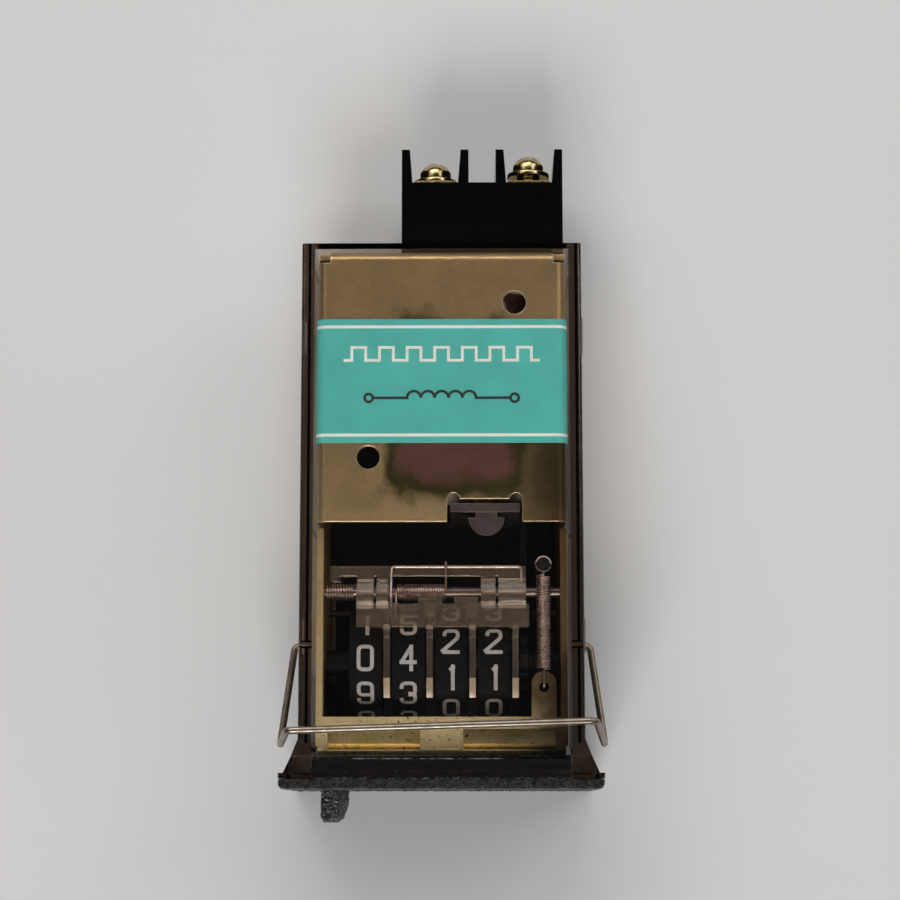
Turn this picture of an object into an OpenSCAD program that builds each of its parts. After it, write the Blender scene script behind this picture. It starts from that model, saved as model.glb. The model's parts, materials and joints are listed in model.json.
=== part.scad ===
// Four-digit electromagnetic panel counter with a reset key, a clear case and a wire mounting bail.
// Millimetres. X right, Y to the rear, Z up. The origin is the middle of the panel seat plane.

/* [Case] */
// Outside width of the clear case
case_width = 42.5; // [40:0.1:46]
// Outside height of the clear case
case_height = 28; // [27.6:0.1:30]
// Length from the panel seat to the rear outside
case_length = 80; // [79:0.5:90]
// Wall of the moulding
case_wall = 1.9; // [1.6:0.1:2]
// Thickness of the rear wall, which the sheet yoke backs
rear_wall = 0.6; // [0.5:0.1:1]
// Length of the flared collar behind the panel seat
collar_length = 4.9; // [3.2:0.1:5.6]
// Length of the collar slope above and below the case
collar_slope = 2.6; // [2:0.1:3.1]
// How far the collar flares beyond the case on each side
collar_flare = 1.95; // [1.2:0.05:2.4]
// Border of the rim beyond the collar, which is the panel seat
rim_border = 0.8; // [0.6:0.1:1.6]
// Thickness of the rim
rim_thickness = 0.8; // [0.6:0.1:1.2]
// How far the side pads stand out
pad_proud = 0.6; // [0.3:0.1:0.8]
// Length of the side pads along the case
pad_length = 5.3; // [4.5:0.1:6]
// Height of the side pads
pad_height = 9; // [6:0.5:12]
// Middle of the rear pads from the rear end of the case
rear_pad = 12.3; // [9:0.1:15]

/* [Bezel] */
// Thickness of the black bezel
bezel_thickness = 1.6; // [1.4:0.1:2.4]
// Bevel round the front of the bezel
bezel_bevel = 0.5; // [0.2:0.1:0.8]
// How far the display opening stops short of the outer wheels on each side
window_margin = 0.1; // [0:0.05:0.5]
// Height of the display opening
window_height = 8.6; // [7:0.2:9]
// Thickness of the clear pane
pane_thickness = 1.2; // [0.8:0.1:1.6]

/* [Sheet frame] */
// Thickness of the plated sheet
sheet = 1; // [0.8:0.1:1.1]
// Outside radius of the sheet bends
bend_radius = 1.5; // [1.3:0.1:2]
// Gap from the case wall to the main frame on each side
frame_gap = 0.5; // [0.4:0.05:0.6]
// Gap from the case wall to the yoke on each side
yoke_gap = 0.45; // [0.4:0.05:0.6]
// Front face of the main frame behind the seat
frame_front = 2.6; // [2.4:0.1:3.2]
// Gap from the case roof to the top strip
strip_drop = 2.7; // [2.3:0.1:3]
// Depth of the top strip
strip_depth = 5.8; // [5:0.1:6.2]
// Front edge of the yoke behind the seat
yoke_front = 37.5; // [37.2:0.1:38.2]
// Gap from the case roof to the yoke
yoke_drop = 0.8; // [0.6:0.1:0.9]
// Diameter of the two yoke holes
yoke_hole = 3.5; // [2.5:0.1:4.5]
// Inset of the two yoke holes from the side walls
hole_inset = 6.8; // [5:0.1:7.5]
// Gap between the two windows of the top strip
strip_bridge = 6.4; // [5:0.1:8]

/* [Label] */
// Length of the label along the yoke
label_length = 19.1; // [12:0.1:21]
// Thickness of the label
label_thickness = 0.12; // [0.08:0.02:0.2]
// Front edge of the label behind the seat
label_front = 49.5; // [48:0.1:53]
// How far the sides of the label stand off the yoke
label_stand_off = 0.1; // [0.05:0.01:0.15]

/* [Number wheels] */
// Diameter of the number wheels
wheel_diameter = 17.8; // [17.2:0.1:18]
// Gap between two wheels
wheel_gap = 1.55; // [1.5:0.05:1.7]
// Length of the spacer to the left of the wheels
spacer_left = 3.75; // [3.2:0.05:4.2]
// Length of the spacer to the right of the ratchet wheel
spacer_right = 4.2; // [3.7:0.05:4.6]
// Wheel axis behind the seat
wheel_setback = 17; // [16.8:0.1:17.2]
// Diameter of the wheel shaft
wheel_shaft_d = 2.5; // [2:0.1:3]
// Radial play of a turning fit
play = 0.05; // [0.03:0.01:0.08]
// Largest radius of the heart cams
heart_radius = 4; // [3.6:0.1:4]
// Teeth of the ratchet wheel
ratchet_teeth = 10; // [8:1:12]

/* [Reset comb] */
// Diameter of the comb shaft
comb_shaft_d = 1.6; // [1.2:0.1:1.7]
// Comb shaft behind the wheel axis
comb_behind = 10.3; // [10.2:0.1:10.6]
// Comb shaft above the wheel axis
comb_above = 6.5; // [6.4:0.1:6.6]
// Width of a finger
finger_width = 0.95; // [0.8:0.05:0.95]
// Reach of the finger tips in front of the shaft
finger_reach = 16; // [14.5:0.1:16.2]
// Thickness of the comb plate
comb_plate = 1.4; // [1:0.1:1.5]
// Radius of the fillets at the roots of the fingers
finger_fillet = 0.6; // [0.3:0.05:0.8]

/* [Reset key] */
// How far the key stands out of the bezel
key_length = 4.9; // [3.5:0.1:6]
// Width of the key at its foot
key_width = 4.4; // [3.8:0.1:4.6]
// Height of the key
key_height = 5.8; // [5:0.1:6]
// Travel of the key
key_travel = 2; // [1.6:0.1:2]

/* [Springs] */
// Wire of the return spring
return_wire = 0.45; // [0.35:0.05:0.5]
// Outside diameter of the return spring
return_od = 2.1; // [1.9:0.1:2.2]
// Wire of the two springs on the comb shaft
shaft_wire = 0.34; // [0.26:0.02:0.36]
// Outside diameter of the springs on the comb shaft
shaft_spring_od = 2.5; // [2.46:0.02:2.6]
// Wire of the comb staple
staple_wire = 0.45; // [0.35:0.05:0.5]
// Wire of the armature spring
armature_wire = 0.36; // [0.3:0.02:0.4]
// Outside diameter of the armature spring
armature_spring_od = 2.96; // [2.4:0.02:3.2]

/* [Magnet] */
// Gap from the coil to the right wall of the yoke
coil_gap = 1.5; // [1.2:0.1:1.9]
// Diameter of the core
core_d = 8; // [7:0.1:8.2]
// Diameter of the bobbin flanges
flange_d = 20; // [18:0.2:20.2]
// Depth of the winding below the flange rim
winding_depth = 0.8; // [0.5:0.1:2]
// Thickness of the armature
armature_thickness = 1.35; // [1:0.05:1.4]

/* [Terminals] */
// Width of the terminal block
block_width = 25; // [22:0.1:26]
// Height of the terminal block
block_height = 16; // [13:0.5:18]
// Depth of the block body
block_depth = 11.2; // [9.5:0.1:12]
// Length of the barriers beyond the body
barrier_length = 5.3; // [4.5:0.1:7]
// Thickness of a barrier at its tip
barrier_tip = 1.25; // [1:0.05:1.4]
// Gap between the two inner barriers
middle_gap = 4.2; // [3.6:0.1:5]
// Gap from a terminal plate to the barriers
plate_gap = 0.25; // [0.15:0.05:0.4]
// Diameter of the terminal screws
screw_d = 3.5; // [3:0.1:3.6]
// How far the right screw is backed out
screw_backed_out = 1.1; // [0:0.1:1.4]
// Height of the terminal screws above the middle of the block
screw_rise = 2.6; // [1.8:0.1:3.4]

/* [Mounting bail] */
// Wire of the bail
bail_wire = 1.1; // [0.8:0.05:1.2]
// Bail pivot behind the seat
bail_pivot = 19.6; // [19.2:0.1:21]
// Crossbar behind the seat
bail_bar = 6.9; // [6.4:0.1:8]
// How much one end of the crossbar lies behind the other
bail_skew = 1.4; // [0:0.1:1.6]

/* [Hidden] */
$fn = 48;
eps = 0.02;
touch = 0.01;
move_gap = 0.3;
smoke = [0.55, 0.45, 0.36, 0.3];
black = [0.06, 0.06, 0.06];
gold = [0.72, 0.57, 0.26];
steel = [0.72, 0.72, 0.7];
nylon = [0.88, 0.86, 0.78, 0.6];

in_w = case_width - 2 * case_wall;
in_h = case_height - 2 * case_wall;
rim_w = case_width + 2 * (collar_flare + rim_border);
rim_h = case_height + 2 * (collar_flare + rim_border);
rear_in = case_length - rear_wall;
floor_z = -in_h / 2;
roof_z = in_h / 2;

frame_w = in_w - 2 * frame_gap;
frame_in = frame_w / 2 - sheet;
frame_top = roof_z - strip_drop;
frame_floor = floor_z + sheet;
side_end = yoke_front - 0.8;
yoke_w = in_w - 2 * yoke_gap;
yoke_in = yoke_w / 2 - sheet;
yoke_top = roof_z - yoke_drop;
yoke_rear = rear_in - 0.1;
yoke_under = yoke_top - sheet;
strip_rear = frame_front + strip_depth;
strip_inset = 0.3;
floor_inset = 0.4;
strip_ends = 1.5;
strip_front_border = 0.8;
strip_rear_border = 1.8;
strip_window = frame_w / 2 - strip_inset - strip_ends - strip_bridge / 2;

wheel_r = wheel_diameter / 2;
end_play = 0.15;
ratchet_r = 5;
ratchet_width = 1.2;
ratchet_gap = 0.3;
ratchet_step = 0.4;
cam_width = wheel_gap - 0.25;
bank_right_w = cam_width + ratchet_gap + ratchet_width + ratchet_step + end_play + spacer_right;
wheel_width = (2 * (frame_in - touch) - spacer_left - end_play - 3 * wheel_gap - bank_right_w) / 4;
wheel_pitch = wheel_width + wheel_gap;
wheel_rim = 1.3;
wheel_recess = 1.2;
hub_wall = 1.2;
hub_d = wheel_shaft_d + 2 * hub_wall;
bank_offset = (wheel_x(1) + wheel_x(4)) / 2;
window_width = 3 * wheel_pitch + wheel_width - 2 * window_margin;
bore_d = wheel_shaft_d + 2 * play;
gap_middle = wheel_width / 2 + wheel_gap / 2;
bank_right = wheel_x(4) + wheel_width / 2 + cam_width;
lever_tip = wheel_setback + ratchet_r + 0.5;
lever_hole_d = 1.4;
lever_hole_y = lever_tip + 8;

pinion_r = 1.7;
pinion_shaft_d = 1.1;
pinion_angle = -41;
pinion_far = wheel_r + pinion_r + move_gap;
pinion_y = wheel_setback + pinion_far * cos(pinion_angle);
pinion_z = pinion_far * sin(pinion_angle);

comb_y = wheel_setback + comb_behind;
comb_z = comb_above;
comb_left = wheel_x(1) - 1.3;
comb_right = wheel_x(4) + 5.25;
bearing_left_w = 2.5;
bearing_right_w = 4.1;
bearing_arm_w = 2.2;
bearing_gap = 0.45;
bearing_right = comb_right - bearing_gap - bearing_right_w;
hub_r = 2.3;
plate_front = comb_y - 5.5;
plate_rear = comb_y - 2.1;
plate_low = comb_z + 2.7;
plate_top = plate_low + comb_plate;
bar_front = comb_y + 2.5;
bar_rear = bar_front + 1.3;
bar_notch_low = comb_z + 0.5;
bar_low = comb_z - 1;
bar_top = comb_z + 2;
crank_x = -frame_in + 1;
crank_w = 1.4;
crank_drop = 11;
crank_front = comb_y + 1.55;
crank_low = comb_z - crank_drop;
torsion_left = wheel_x(2) - 2.1;
torsion_turns = 20;
torsion_pitch = shaft_wire + 0.04;
torsion_right = torsion_left + torsion_turns * torsion_pitch;
torsion_mid = (torsion_left + torsion_right) / 2 + 1.6;
lip_w = 3.6;
notch_step = 3.2;
notch_w = 2.2;

slide_low = frame_floor + 0.25;
slide_t = 1.2;
slide_top = slide_low + slide_t;
slide_w = 2 * frame_in - 1.6;
slide_front = frame_front + sheet + 2.4;
slide_rear = yoke_front + 4.6 - key_travel;
tongue_x = -frame_in + 0.4;
tongue_w = 1.4;
tongue_h = 2.6;
tongue_front = -rim_thickness - 1.6;
horn_top = crank_low + 1.6;

key_x = -frame_in - 1.2;
key_low = floor_z + 0.6;
key_front = -rim_thickness - bezel_thickness - key_length;
key_rear = -rim_thickness - 0.4;
key_top_w = key_width - 1.5;
key_draft = 0.5;
key_slot_gap = 0.3;

lug_x = frame_in - 2.55;
lug_w = 3.7;
lug_reach = 6.8;
lug_hole_y = strip_rear + 4.4;
lug_hole_d = 1.5;
return_z = frame_top + 0.35;
post_y = bar_rear + 0.1;
post_w = 2;
post_pin_d = 1.5;
loop_r = post_pin_d / 2 + return_wire / 2 + 0.12;
coil_front = strip_rear + lug_reach + 0.3;
coil_rear = post_y - loop_r - 0.9;
return_pitch = return_wire + 0.05;
return_turns = floor((coil_rear - coil_front) / return_pitch);

coil_offset = yoke_in - coil_gap - flange_d / 2;
notch_left = coil_offset - 5.55;
notch_right = coil_offset + 5.7;
notch_rear = yoke_front + 3.45;
pole_y = notch_rear + 1;
bobbin_front = pole_y + 0.65;
bobbin_rear = yoke_rear - 4.8;
flange_t = 1.2;
core_fit = 0.1;
barrel_t = 1.1;
armature_y = yoke_front + 1.5;
armature_rear = armature_y + armature_thickness;
armature_low = -6;
armature_top = yoke_top - 0.3;
armature_left = notch_left + 0.45;
armature_right = notch_right - 0.3;
tongue_r = 2.75;
tongue_neck = 3.3;
tongue_top = armature_top - 0.1;
lever_w = ratchet_width - 0.2;
lever_x = ratchet_x() + (ratchet_width - lever_w) / 2;
lever_half = 1.5;
lever_foot_w = 4;
lever_foot_low = -4;
lever_foot_t = 1.4;
armature_spring_z = 7;
armature_turns = 4;

block_x = coil_offset - 0.15;
block_rear = case_length + block_depth;
barrier_rear = block_rear + barrier_length;
barrier_base = barrier_tip + 0.4;
bay_w = (block_width - middle_gap) / 2 - 2 * barrier_base;
screw_spacing = (block_width + middle_gap) / 2;
plate_t = 0.8;
plate_w = bay_w - 2 * plate_gap;
washer_t = 0.7;
washer_d = plate_w;
head_d = washer_d - 1.8;
head_h = 2.9;
head_dome = 1.6;
screw_gap = 0.08;
tail_z = -4;
tail_w = 2.4;
tail_fit = 0.1;
tail_front = bobbin_rear + 1.9;
spigot_w = screw_spacing + 5;
spigot_h = 11;
spigot_fit = 0.15;

bail_out = case_width / 2 + pad_proud + bail_wire / 2 + 0.35;
bail_end = in_w / 2 + 0.35;
bail_foot_x = case_width / 2 + collar_flare + rim_border + 0.9;
bail_foot_y = collar_length - 0.4;
bail_top_x = case_width / 2 + 1.55;
bail_top_z = case_height / 2 + bail_wire / 2 + 0.3;
bail_bend = 0.9;

// X of the middle of number wheel k, counted from the left
function wheel_x(k) = touch - frame_in + spacer_left + end_play + wheel_width / 2 + (k - 1) * wheel_pitch;
// X of the left face of the ratchet wheel
function ratchet_x() = wheel_x(4) + wheel_width / 2 + cam_width + ratchet_gap;
// X of the middle of the gap to the right of wheel k
function gap_x(k) = wheel_x(k) + gap_middle;
// X of terminal 1 or 2
function terminal_x(k) = block_x + (k - 1.5) * screw_spacing;
function unit(v) = v / norm(v);
// Direction of a path at point i
function heading(p, i) = unit(p[min(i + 1, len(p) - 1)] - p[max(i - 1, 0)]);
// A direction across t
function across(t) = unit(cross(t, abs(t[0]) < 0.8 ? [1, 0, 0] : [0, 0, 1]));
// Ring directions carried along a path without twist
function carried(p) = [
    for (i = 0, n = across(heading(p, 0)); i < len(p);
         i = i + 1, n = unit(n - (n * heading(p, min(i, len(p) - 1))) * heading(p, min(i, len(p) - 1)))) n
];
// Arc that rounds the corner b of the path a, b, c
function corner(a, b, c, r, steps) = let (
    u = unit(a - b),
    v = unit(c - b),
    half = acos(u * v) / 2,
    mid = b + unit(u + v) * r / sin(half),
    p = b + u * r / tan(half) - mid,
    q = b + v * r / tan(half) - mid,
    turn = 180 - 2 * half
) [for (k = [0 : steps]) mid + (sin(turn * (1 - k / steps)) * p + sin(turn * k / steps) * q) / sin(turn)];
// Path with every inner corner rounded
function rounded(p, r, steps) = concat(
    [p[0]],
    [for (i = [1 : len(p) - 2]) each corner(p[i - 1], p[i], p[i + 1], r, steps)],
    [p[len(p) - 1]]
);
// Helix along +X from the origin, first point at the given angle from +Y
function helix(turns, pitch, r, per_turn, start) = [
    for (i = [0 : turns * per_turn])
        [pitch * i / per_turn, r * cos(start + 360 * i / per_turn), r * sin(start + 360 * i / per_turn)]
];
// Outline of a wheel with square-topped teeth
function teeth(n, root, tip) = [
    for (i = [0 : n - 1]) for (e = [[0, root], [0.22, tip], [0.5, tip], [0.72, root]])
        e[1] * [cos(360 * (i + e[0]) / n), sin(360 * (i + e[0]) / n)]
];
// Outline of a wheel with saw teeth
function saw(n, root, tip) = [
    for (i = [0 : n - 1]) for (e = [[0, root], [0.12, tip], [0.2, tip]])
        e[1] * [cos(360 * (i + e[0]) / n), sin(360 * (i + e[0]) / n)]
];
// Outline of a heart cam
function heart(low, high) = [
    for (i = [0 : 47]) let (a = i * 7.5, f = abs(a - 180) / 180) (high + (low - high) * f) * [cos(a), sin(a)]
];

// Extrusions of a flat outline along X (outline in Y, Z), Y (outline in X, Z) and Z (outline in X, Y)
module along_x(x0, x1) {
    translate([x0, 0, 0])
    rotate([90, 0, 90])
    linear_extrude(x1 - x0)
    children();
}

module along_y(y0, y1) {
    translate([0, y1, 0])
    rotate([90, 0, 0])
    linear_extrude(y1 - y0)
    children();
}

module along_z(z0, z1) {
    translate([0, 0, z0])
    linear_extrude(z1 - z0)
    children();
}

module box(x0, x1, y0, y1, z0, z1) {
    translate([x0, y0, z0])
    cube([x1 - x0, y1 - y0, z1 - z0]);
}

module rod_x(x0, x1, y, z, d) {
    translate([x0, y, z])
    rotate([0, 90, 0])
    cylinder(d = d, h = x1 - x0);
}

module rod_y(y0, y1, x, z, d) {
    translate([x, y1, z])
    rotate([90, 0, 0])
    cylinder(d = d, h = y1 - y0);
}

module rounded_2d(w, h, r) {
    square([w, h - 2 * r], center = true);
    square([w - 2 * r, h], center = true);
    for (sx = [-1, 1]) {
        for (sy = [-1, 1]) {
            translate([sx * (w / 2 - r), sy * (h / 2 - r)])
            circle(r);
        }
    }
}

// Block with its two top corners rounded, its top at 0
module arch_2d(w, h, r) {
    translate([-w / 2, -h])
    square([w, h - r]);
    translate([-w / 2 + r, -r - eps])
    square([w - 2 * r, r + eps]);
    for (s = [-1, 1]) {
        translate([s * (w / 2 - r), -r])
        circle(r);
    }
}

// Folded sheet channel, its closed side up at 0
module channel_2d(w, h, t, r) {
    difference() {
        arch_2d(w, h, r);
        translate([0, -t])
        arch_2d(w - 2 * t, h, r - t);
    }
}

// Round wire swept along a path
module wire(p, d, sides) {
    n = carried(p);
    last = len(p) - 1;
    ring = [
        for (i = [0 : last]) let (t = heading(p, i), b = cross(t, n[i]))
            for (k = [0 : sides - 1]) p[i] + d / 2 * (cos(360 * k / sides) * n[i] + sin(360 * k / sides) * b)
    ];
    skin = [
        for (i = [0 : last - 1])
            for (k = [0 : sides - 1])
                let (a = i * sides + k, b = i * sides + (k + 1) % sides)
                    each [[a, a + sides, b + sides], [a, b + sides, b]]
    ];
    ends = [[for (k = [0 : sides - 1]) k], [for (k = [sides - 1 : -1 : 0]) last * sides + k]];
    polyhedron(points = ring, faces = concat(skin, ends), convexity = 10);
}

module case_body() {
    along_y(0, case_length)
    rounded_2d(case_width, case_height, 0.6);
    intersection() {
        along_z(-case_height, case_height)
        collar_2d(case_width, collar_length);
        along_x(-case_width, case_width)
        rotate(90)
        mirror([0, 1])
        collar_2d(case_height, collar_slope);
    }
    along_y(-rim_thickness, 0)
    rounded_2d(rim_w, rim_h, 1);
    for (s = [-1, 1]) {
        for (y = [bail_pivot + 1.3, case_length - rear_pad]) {
            translate([s * case_width / 2, y, 0])
            cube([2 * pad_proud, pad_length, pad_height], center = true);
        }
    }
}

// Outline of the flared collar, across and along Y, with its slope that long
module collar_2d(w, slope) {
    polygon([
        [-w / 2 - collar_flare, 0],
        [w / 2 + collar_flare, 0],
        [w / 2, slope],
        [w / 2, collar_length + eps],
        [-w / 2, collar_length + eps],
        [-w / 2, slope]
    ]);
}

module case() {
    color(smoke)
    difference() {
        case_body();
        box(-in_w / 2, in_w / 2, -rim_thickness - 1, rear_in, floor_z, roof_z);
        rod_x(-case_width, case_width, bail_pivot, 0, bail_wire + 0.12);
        along_y(rear_in - 1, case_length + 1)
        translate([block_x, 0])
        square([spigot_w, spigot_h], center = true);
    }
}

module key_outline(gap) {
    polygon([
        [key_x - gap, key_low - gap],
        [key_x + key_width + gap, key_low - gap],
        [key_x + key_top_w + gap, key_low + key_height + gap],
        [key_x - gap, key_low + key_height + gap]
    ]);
}

module bezel() {
    bezel_front = -rim_thickness - bezel_thickness;
    color(black)
    difference() {
        union() {
            along_y(bezel_front + bezel_bevel, -rim_thickness)
            rounded_2d(rim_w, rim_h, 1);
            intersection() {
                along_z(-rim_h, rim_h)
                bevel_2d(rim_w, bezel_front);
                along_x(-rim_w, rim_w)
                rotate(90)
                mirror([0, 1])
                bevel_2d(rim_h, bezel_front);
            }
            along_y(-rim_thickness - eps, frame_front - 1.2)
            difference() {
                square([in_w - 0.2, in_h - 0.2], center = true);
                square([in_w - 1.6, in_h - 1.6], center = true);
            }
        }
        translate([bank_offset, 0, 0])
        box(-window_width / 2, window_width / 2, bezel_front - 1, 1, -window_height / 2, window_height / 2);
        along_y(bezel_front - 1, frame_front)
        key_outline(key_slot_gap);
    }
}

// Bevelled front of the bezel, across and along Y
module bevel_2d(w, front) {
    polygon([
        [-w / 2 + bezel_bevel, front],
        [w / 2 - bezel_bevel, front],
        [w / 2, front + bezel_bevel],
        [w / 2, front + bezel_bevel + eps],
        [-w / 2, front + bezel_bevel + eps],
        [-w / 2, front + bezel_bevel]
    ]);
}

module display_window() {
    color([0.9, 0.92, 0.9, 0.4])
    translate([bank_offset, 0, 0])
    box(-window_width / 2 - 0.8, window_width / 2 + 0.8, -rim_thickness + touch,
        -rim_thickness + pane_thickness, -window_height / 2 - 0.6, window_height / 2 + 0.6);
}

module main_frame() {
    color(gold)
    difference() {
        union() {
            along_y(frame_front + bend_radius, side_end)
            translate([0, floor_z])
            mirror([0, 1])
            channel_2d(frame_w, frame_top - floor_z, sheet, bend_radius);
            box(-frame_w / 2 + floor_inset, frame_w / 2 - floor_inset, side_end - 1,
                yoke_rear - sheet - floor_inset, floor_z, frame_floor);
            along_x(-frame_w / 2 + strip_inset, frame_w / 2 - strip_inset)
            translate([frame_front, (frame_top + floor_z) / 2])
            rotate(90)
            channel_2d(frame_top - floor_z, strip_depth, sheet, bend_radius);
            along_z(frame_top - sheet, frame_top)
            lug_2d();
        }
        for (s = [-1, 1]) {
            translate([s * (strip_bridge + strip_window) / 2, 0, 0])
            along_z(frame_top - 2 * sheet, frame_top + 1)
            translate([-strip_window / 2, frame_front + strip_front_border])
            square([strip_window, strip_depth - strip_front_border - strip_rear_border]);
        }
        translate([bank_offset, 0, 0])
        box(-window_width / 2 - 0.6, window_width / 2 + 0.6, frame_front - 1, frame_front + 2 * sheet, -6, 6);
        box(tongue_x - move_gap, tongue_x + tongue_w + move_gap, frame_front - 1, frame_front + 2 * sheet,
            slide_low - 0.2, slide_low + tongue_h + move_gap);
        for (h = [[wheel_setback, 0, wheel_shaft_d], [comb_y, comb_z, comb_shaft_d],
                  [pinion_y, pinion_z, pinion_shaft_d]]) {
            rod_x(-case_width, case_width, h[0], h[1], h[2] + 2 * touch);
        }
    }
}

// Spring lug on the top strip, with its rounded end
module lug_2d() {
    difference() {
        union() {
            translate([lug_x - lug_w / 2, strip_rear - 1])
            square([lug_w, lug_reach + 1 - lug_w / 2]);
            translate([lug_x, strip_rear + lug_reach - lug_w / 2])
            circle(d = lug_w);
        }
        translate([lug_x, lug_hole_y])
        circle(d = lug_hole_d);
    }
}

module display_mask() {
    mask_front = frame_front + sheet + touch;
    mask_top = frame_top - sheet - 1.1;
    color(gold)
    difference() {
        along_x(-frame_in + 0.2, frame_in - 0.2)
        translate([mask_front, (mask_top - 7) / 2])
        rotate(90)
        mask_2d(mask_top + 7, strip_depth - sheet - 0.5, 0.8);
        translate([bank_offset, 0, 0])
        box(-window_width / 2 - 0.4, window_width / 2 + 0.4, mask_front - 1, mask_front + 2, -5.6, 5.6);
    }
}

// Angle outline of the mask: a wall across and a flange at its top
module mask_2d(w, h, t) {
    difference() {
        arch_2d(w, h, 1.2);
        translate([-t, -t])
        arch_2d(w, h, 0.4);
    }
}

module yoke() {
    relief = 1.8;
    color(gold)
    difference() {
        union() {
            along_y(yoke_front, yoke_rear - relief)
            translate([0, yoke_top])
            channel_2d(yoke_w, yoke_top - frame_floor, sheet, bend_radius);
            along_x(-yoke_w / 2 + relief, yoke_w / 2 - relief)
            rear_bend_2d();
            box(-yoke_w / 2, yoke_w / 2, yoke_rear - sheet, yoke_rear, frame_floor, yoke_top - 2.2);
        }
        along_z(yoke_under - 1, yoke_top + 1)
        notch_2d();
        for (h = [[yoke_in - hole_inset, yoke_rear - 8.1], [hole_inset - yoke_in, yoke_front + 9.8]]) {
            translate([h[0], h[1], yoke_under - 1])
            cylinder(d = yoke_hole, h = sheet + 2);
        }
        rod_y(yoke_rear - 2 * sheet, yoke_rear + 1, coil_offset, 0, 0.6 * core_d + 2 * touch);
        for (k = [1, 2]) {
            translate([terminal_x(k), yoke_rear - sheet / 2, tail_z])
            cube([tail_w + 1.2, 3 * sheet, plate_t + 1.2], center = true);
        }
    }
}

// Rear wall of the yoke with its bend into the top
module rear_bend_2d() {
    difference() {
        translate([yoke_rear, (yoke_top + frame_floor) / 2])
        rotate(-90)
        arch_2d(yoke_top - frame_floor, 3, bend_radius);
        translate([yoke_rear - sheet, (yoke_under + frame_floor) / 2 - 1])
        rotate(-90)
        arch_2d(yoke_under - frame_floor + 2, 4, bend_radius - sheet);
        translate([yoke_rear - 4, frame_floor - 3])
        square([3, yoke_under - frame_floor]);
    }
    translate([yoke_rear - sheet, frame_floor])
    square([sheet, bend_radius]);
}

// Notch for the armature with round corner reliefs
module notch_2d() {
    translate([notch_left, yoke_front - 1])
    square([notch_right - notch_left, notch_rear - yoke_front + 1]);
    for (x = [notch_left + 0.9, notch_right - 0.9]) {
        translate([x, notch_rear])
        circle(0.9);
    }
}

module label() {
    side = 2 * bend_radius + 2;
    color([0.1, 0.55, 0.5])
    along_y(label_front, label_front + label_length)
    translate([0, yoke_top + label_thickness + touch])
    channel_2d(yoke_w + 2 * label_thickness + 2 * label_stand_off, side, label_thickness,
               bend_radius + label_thickness + label_stand_off);
}

module core() {
    color(steel)
    union() {
        rod_y(pole_y, yoke_rear - sheet - touch, coil_offset, 0, core_d);
        rod_y(yoke_rear - sheet - 1, yoke_rear, coil_offset, 0, 0.6 * core_d);
    }
}

module bobbin() {
    color([0.85, 0.83, 0.75])
    difference() {
        union() {
            rod_y(bobbin_front, bobbin_front + flange_t, coil_offset, 0, flange_d);
            rod_y(bobbin_rear - flange_t, bobbin_rear, coil_offset, 0, flange_d);
            rod_y(bobbin_front, bobbin_rear, coil_offset, 0, core_d + 2 * core_fit + 2 * barrel_t);
        }
        rod_y(bobbin_front - 1, bobbin_rear + 1, coil_offset, 0, core_d + 2 * core_fit);
    }
}

module winding() {
    color([0.75, 0.4, 0.18])
    difference() {
        rod_y(bobbin_front + flange_t + touch, bobbin_rear - flange_t - touch, coil_offset, 0,
              flange_d - 2 * winding_depth);
        rod_y(bobbin_front, bobbin_rear, coil_offset, 0, core_d + 2 * core_fit + 2 * barrel_t + 2 * touch);
    }
}

module coil_leads() {
    color([0.75, 0.4, 0.18])
    for (k = [1, 2]) {
        rod_y(bobbin_rear + touch, tail_front - touch, terminal_x(k), tail_z, 0.7);
    }
}

module armature() {
    color(steel)
    union() {
        box(armature_left, armature_right, armature_y, armature_rear, armature_low, armature_top);
        along_z(tongue_top - 1, tongue_top)
        tongue_2d();
    }
}

// Half-round tongue on its neck
module tongue_2d() {
    mid = (armature_left + armature_right) / 2 + 0.2;
    translate([mid - tongue_neck / 2, armature_y - 1.2])
    square([tongue_neck, 2]);
    translate([mid, armature_y - 0.8])
    difference() {
        circle(tongue_r);
        translate([-tongue_r, 0])
        square(2 * tongue_r);
    }
}

module armature_spring() {
    length = bobbin_front - armature_rear - armature_wire - 0.14;
    r = (armature_spring_od - armature_wire) / 2;
    color(steel)
    translate([coil_offset, armature_rear + 0.07, armature_spring_z])
    rotate(90)
    translate([armature_wire / 2, 0, 0])
    wire(helix(armature_turns, length / armature_turns, r, 8, 0), armature_wire, 6);
}

module drive_lever() {
    color(black)
    difference() {
        union() {
            box(lever_x, lever_x + lever_w, lever_tip, armature_y - touch, -lever_half, lever_half);
            box(armature_right - lever_foot_w, lever_x + lever_w, armature_y - lever_foot_t,
                armature_y - touch, lever_foot_low, lever_half);
        }
        rod_x(lever_x - lever_w, lever_x + 3 * lever_w, lever_hole_y, 0, lever_hole_d);
    }
}

module number_wheel(k) {
    x = wheel_x(k);
    half = wheel_width / 2;
    inner_d = wheel_diameter - 2 * wheel_rim;
    color(black)
    difference() {
        union() {
            difference() {
                rod_x(x - half, x + half, wheel_setback, 0, wheel_diameter);
                rod_x(x + half - wheel_recess, x + half + 1, wheel_setback, 0, inner_d);
                rod_x(x - half - 1, x - half + wheel_recess, wheel_setback, 0, inner_d);
            }
            rod_x(x - half, x + half + cam_width, wheel_setback, 0, hub_d);
            along_x(x + half - wheel_recess - 0.2, x + half + cam_width)
            translate([wheel_setback, 0])
            rotate(36 * k)
            polygon(heart(0.55 * heart_radius, heart_radius));
        }
        rod_x(x - wheel_pitch, x + wheel_pitch, wheel_setback, 0, bore_d);
    }
}

module number_wheel_1() {
    number_wheel(1);
}

module number_wheel_2() {
    number_wheel(2);
}

module number_wheel_3() {
    number_wheel(3);
}

module number_wheel_4() {
    number_wheel(4);
}

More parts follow.
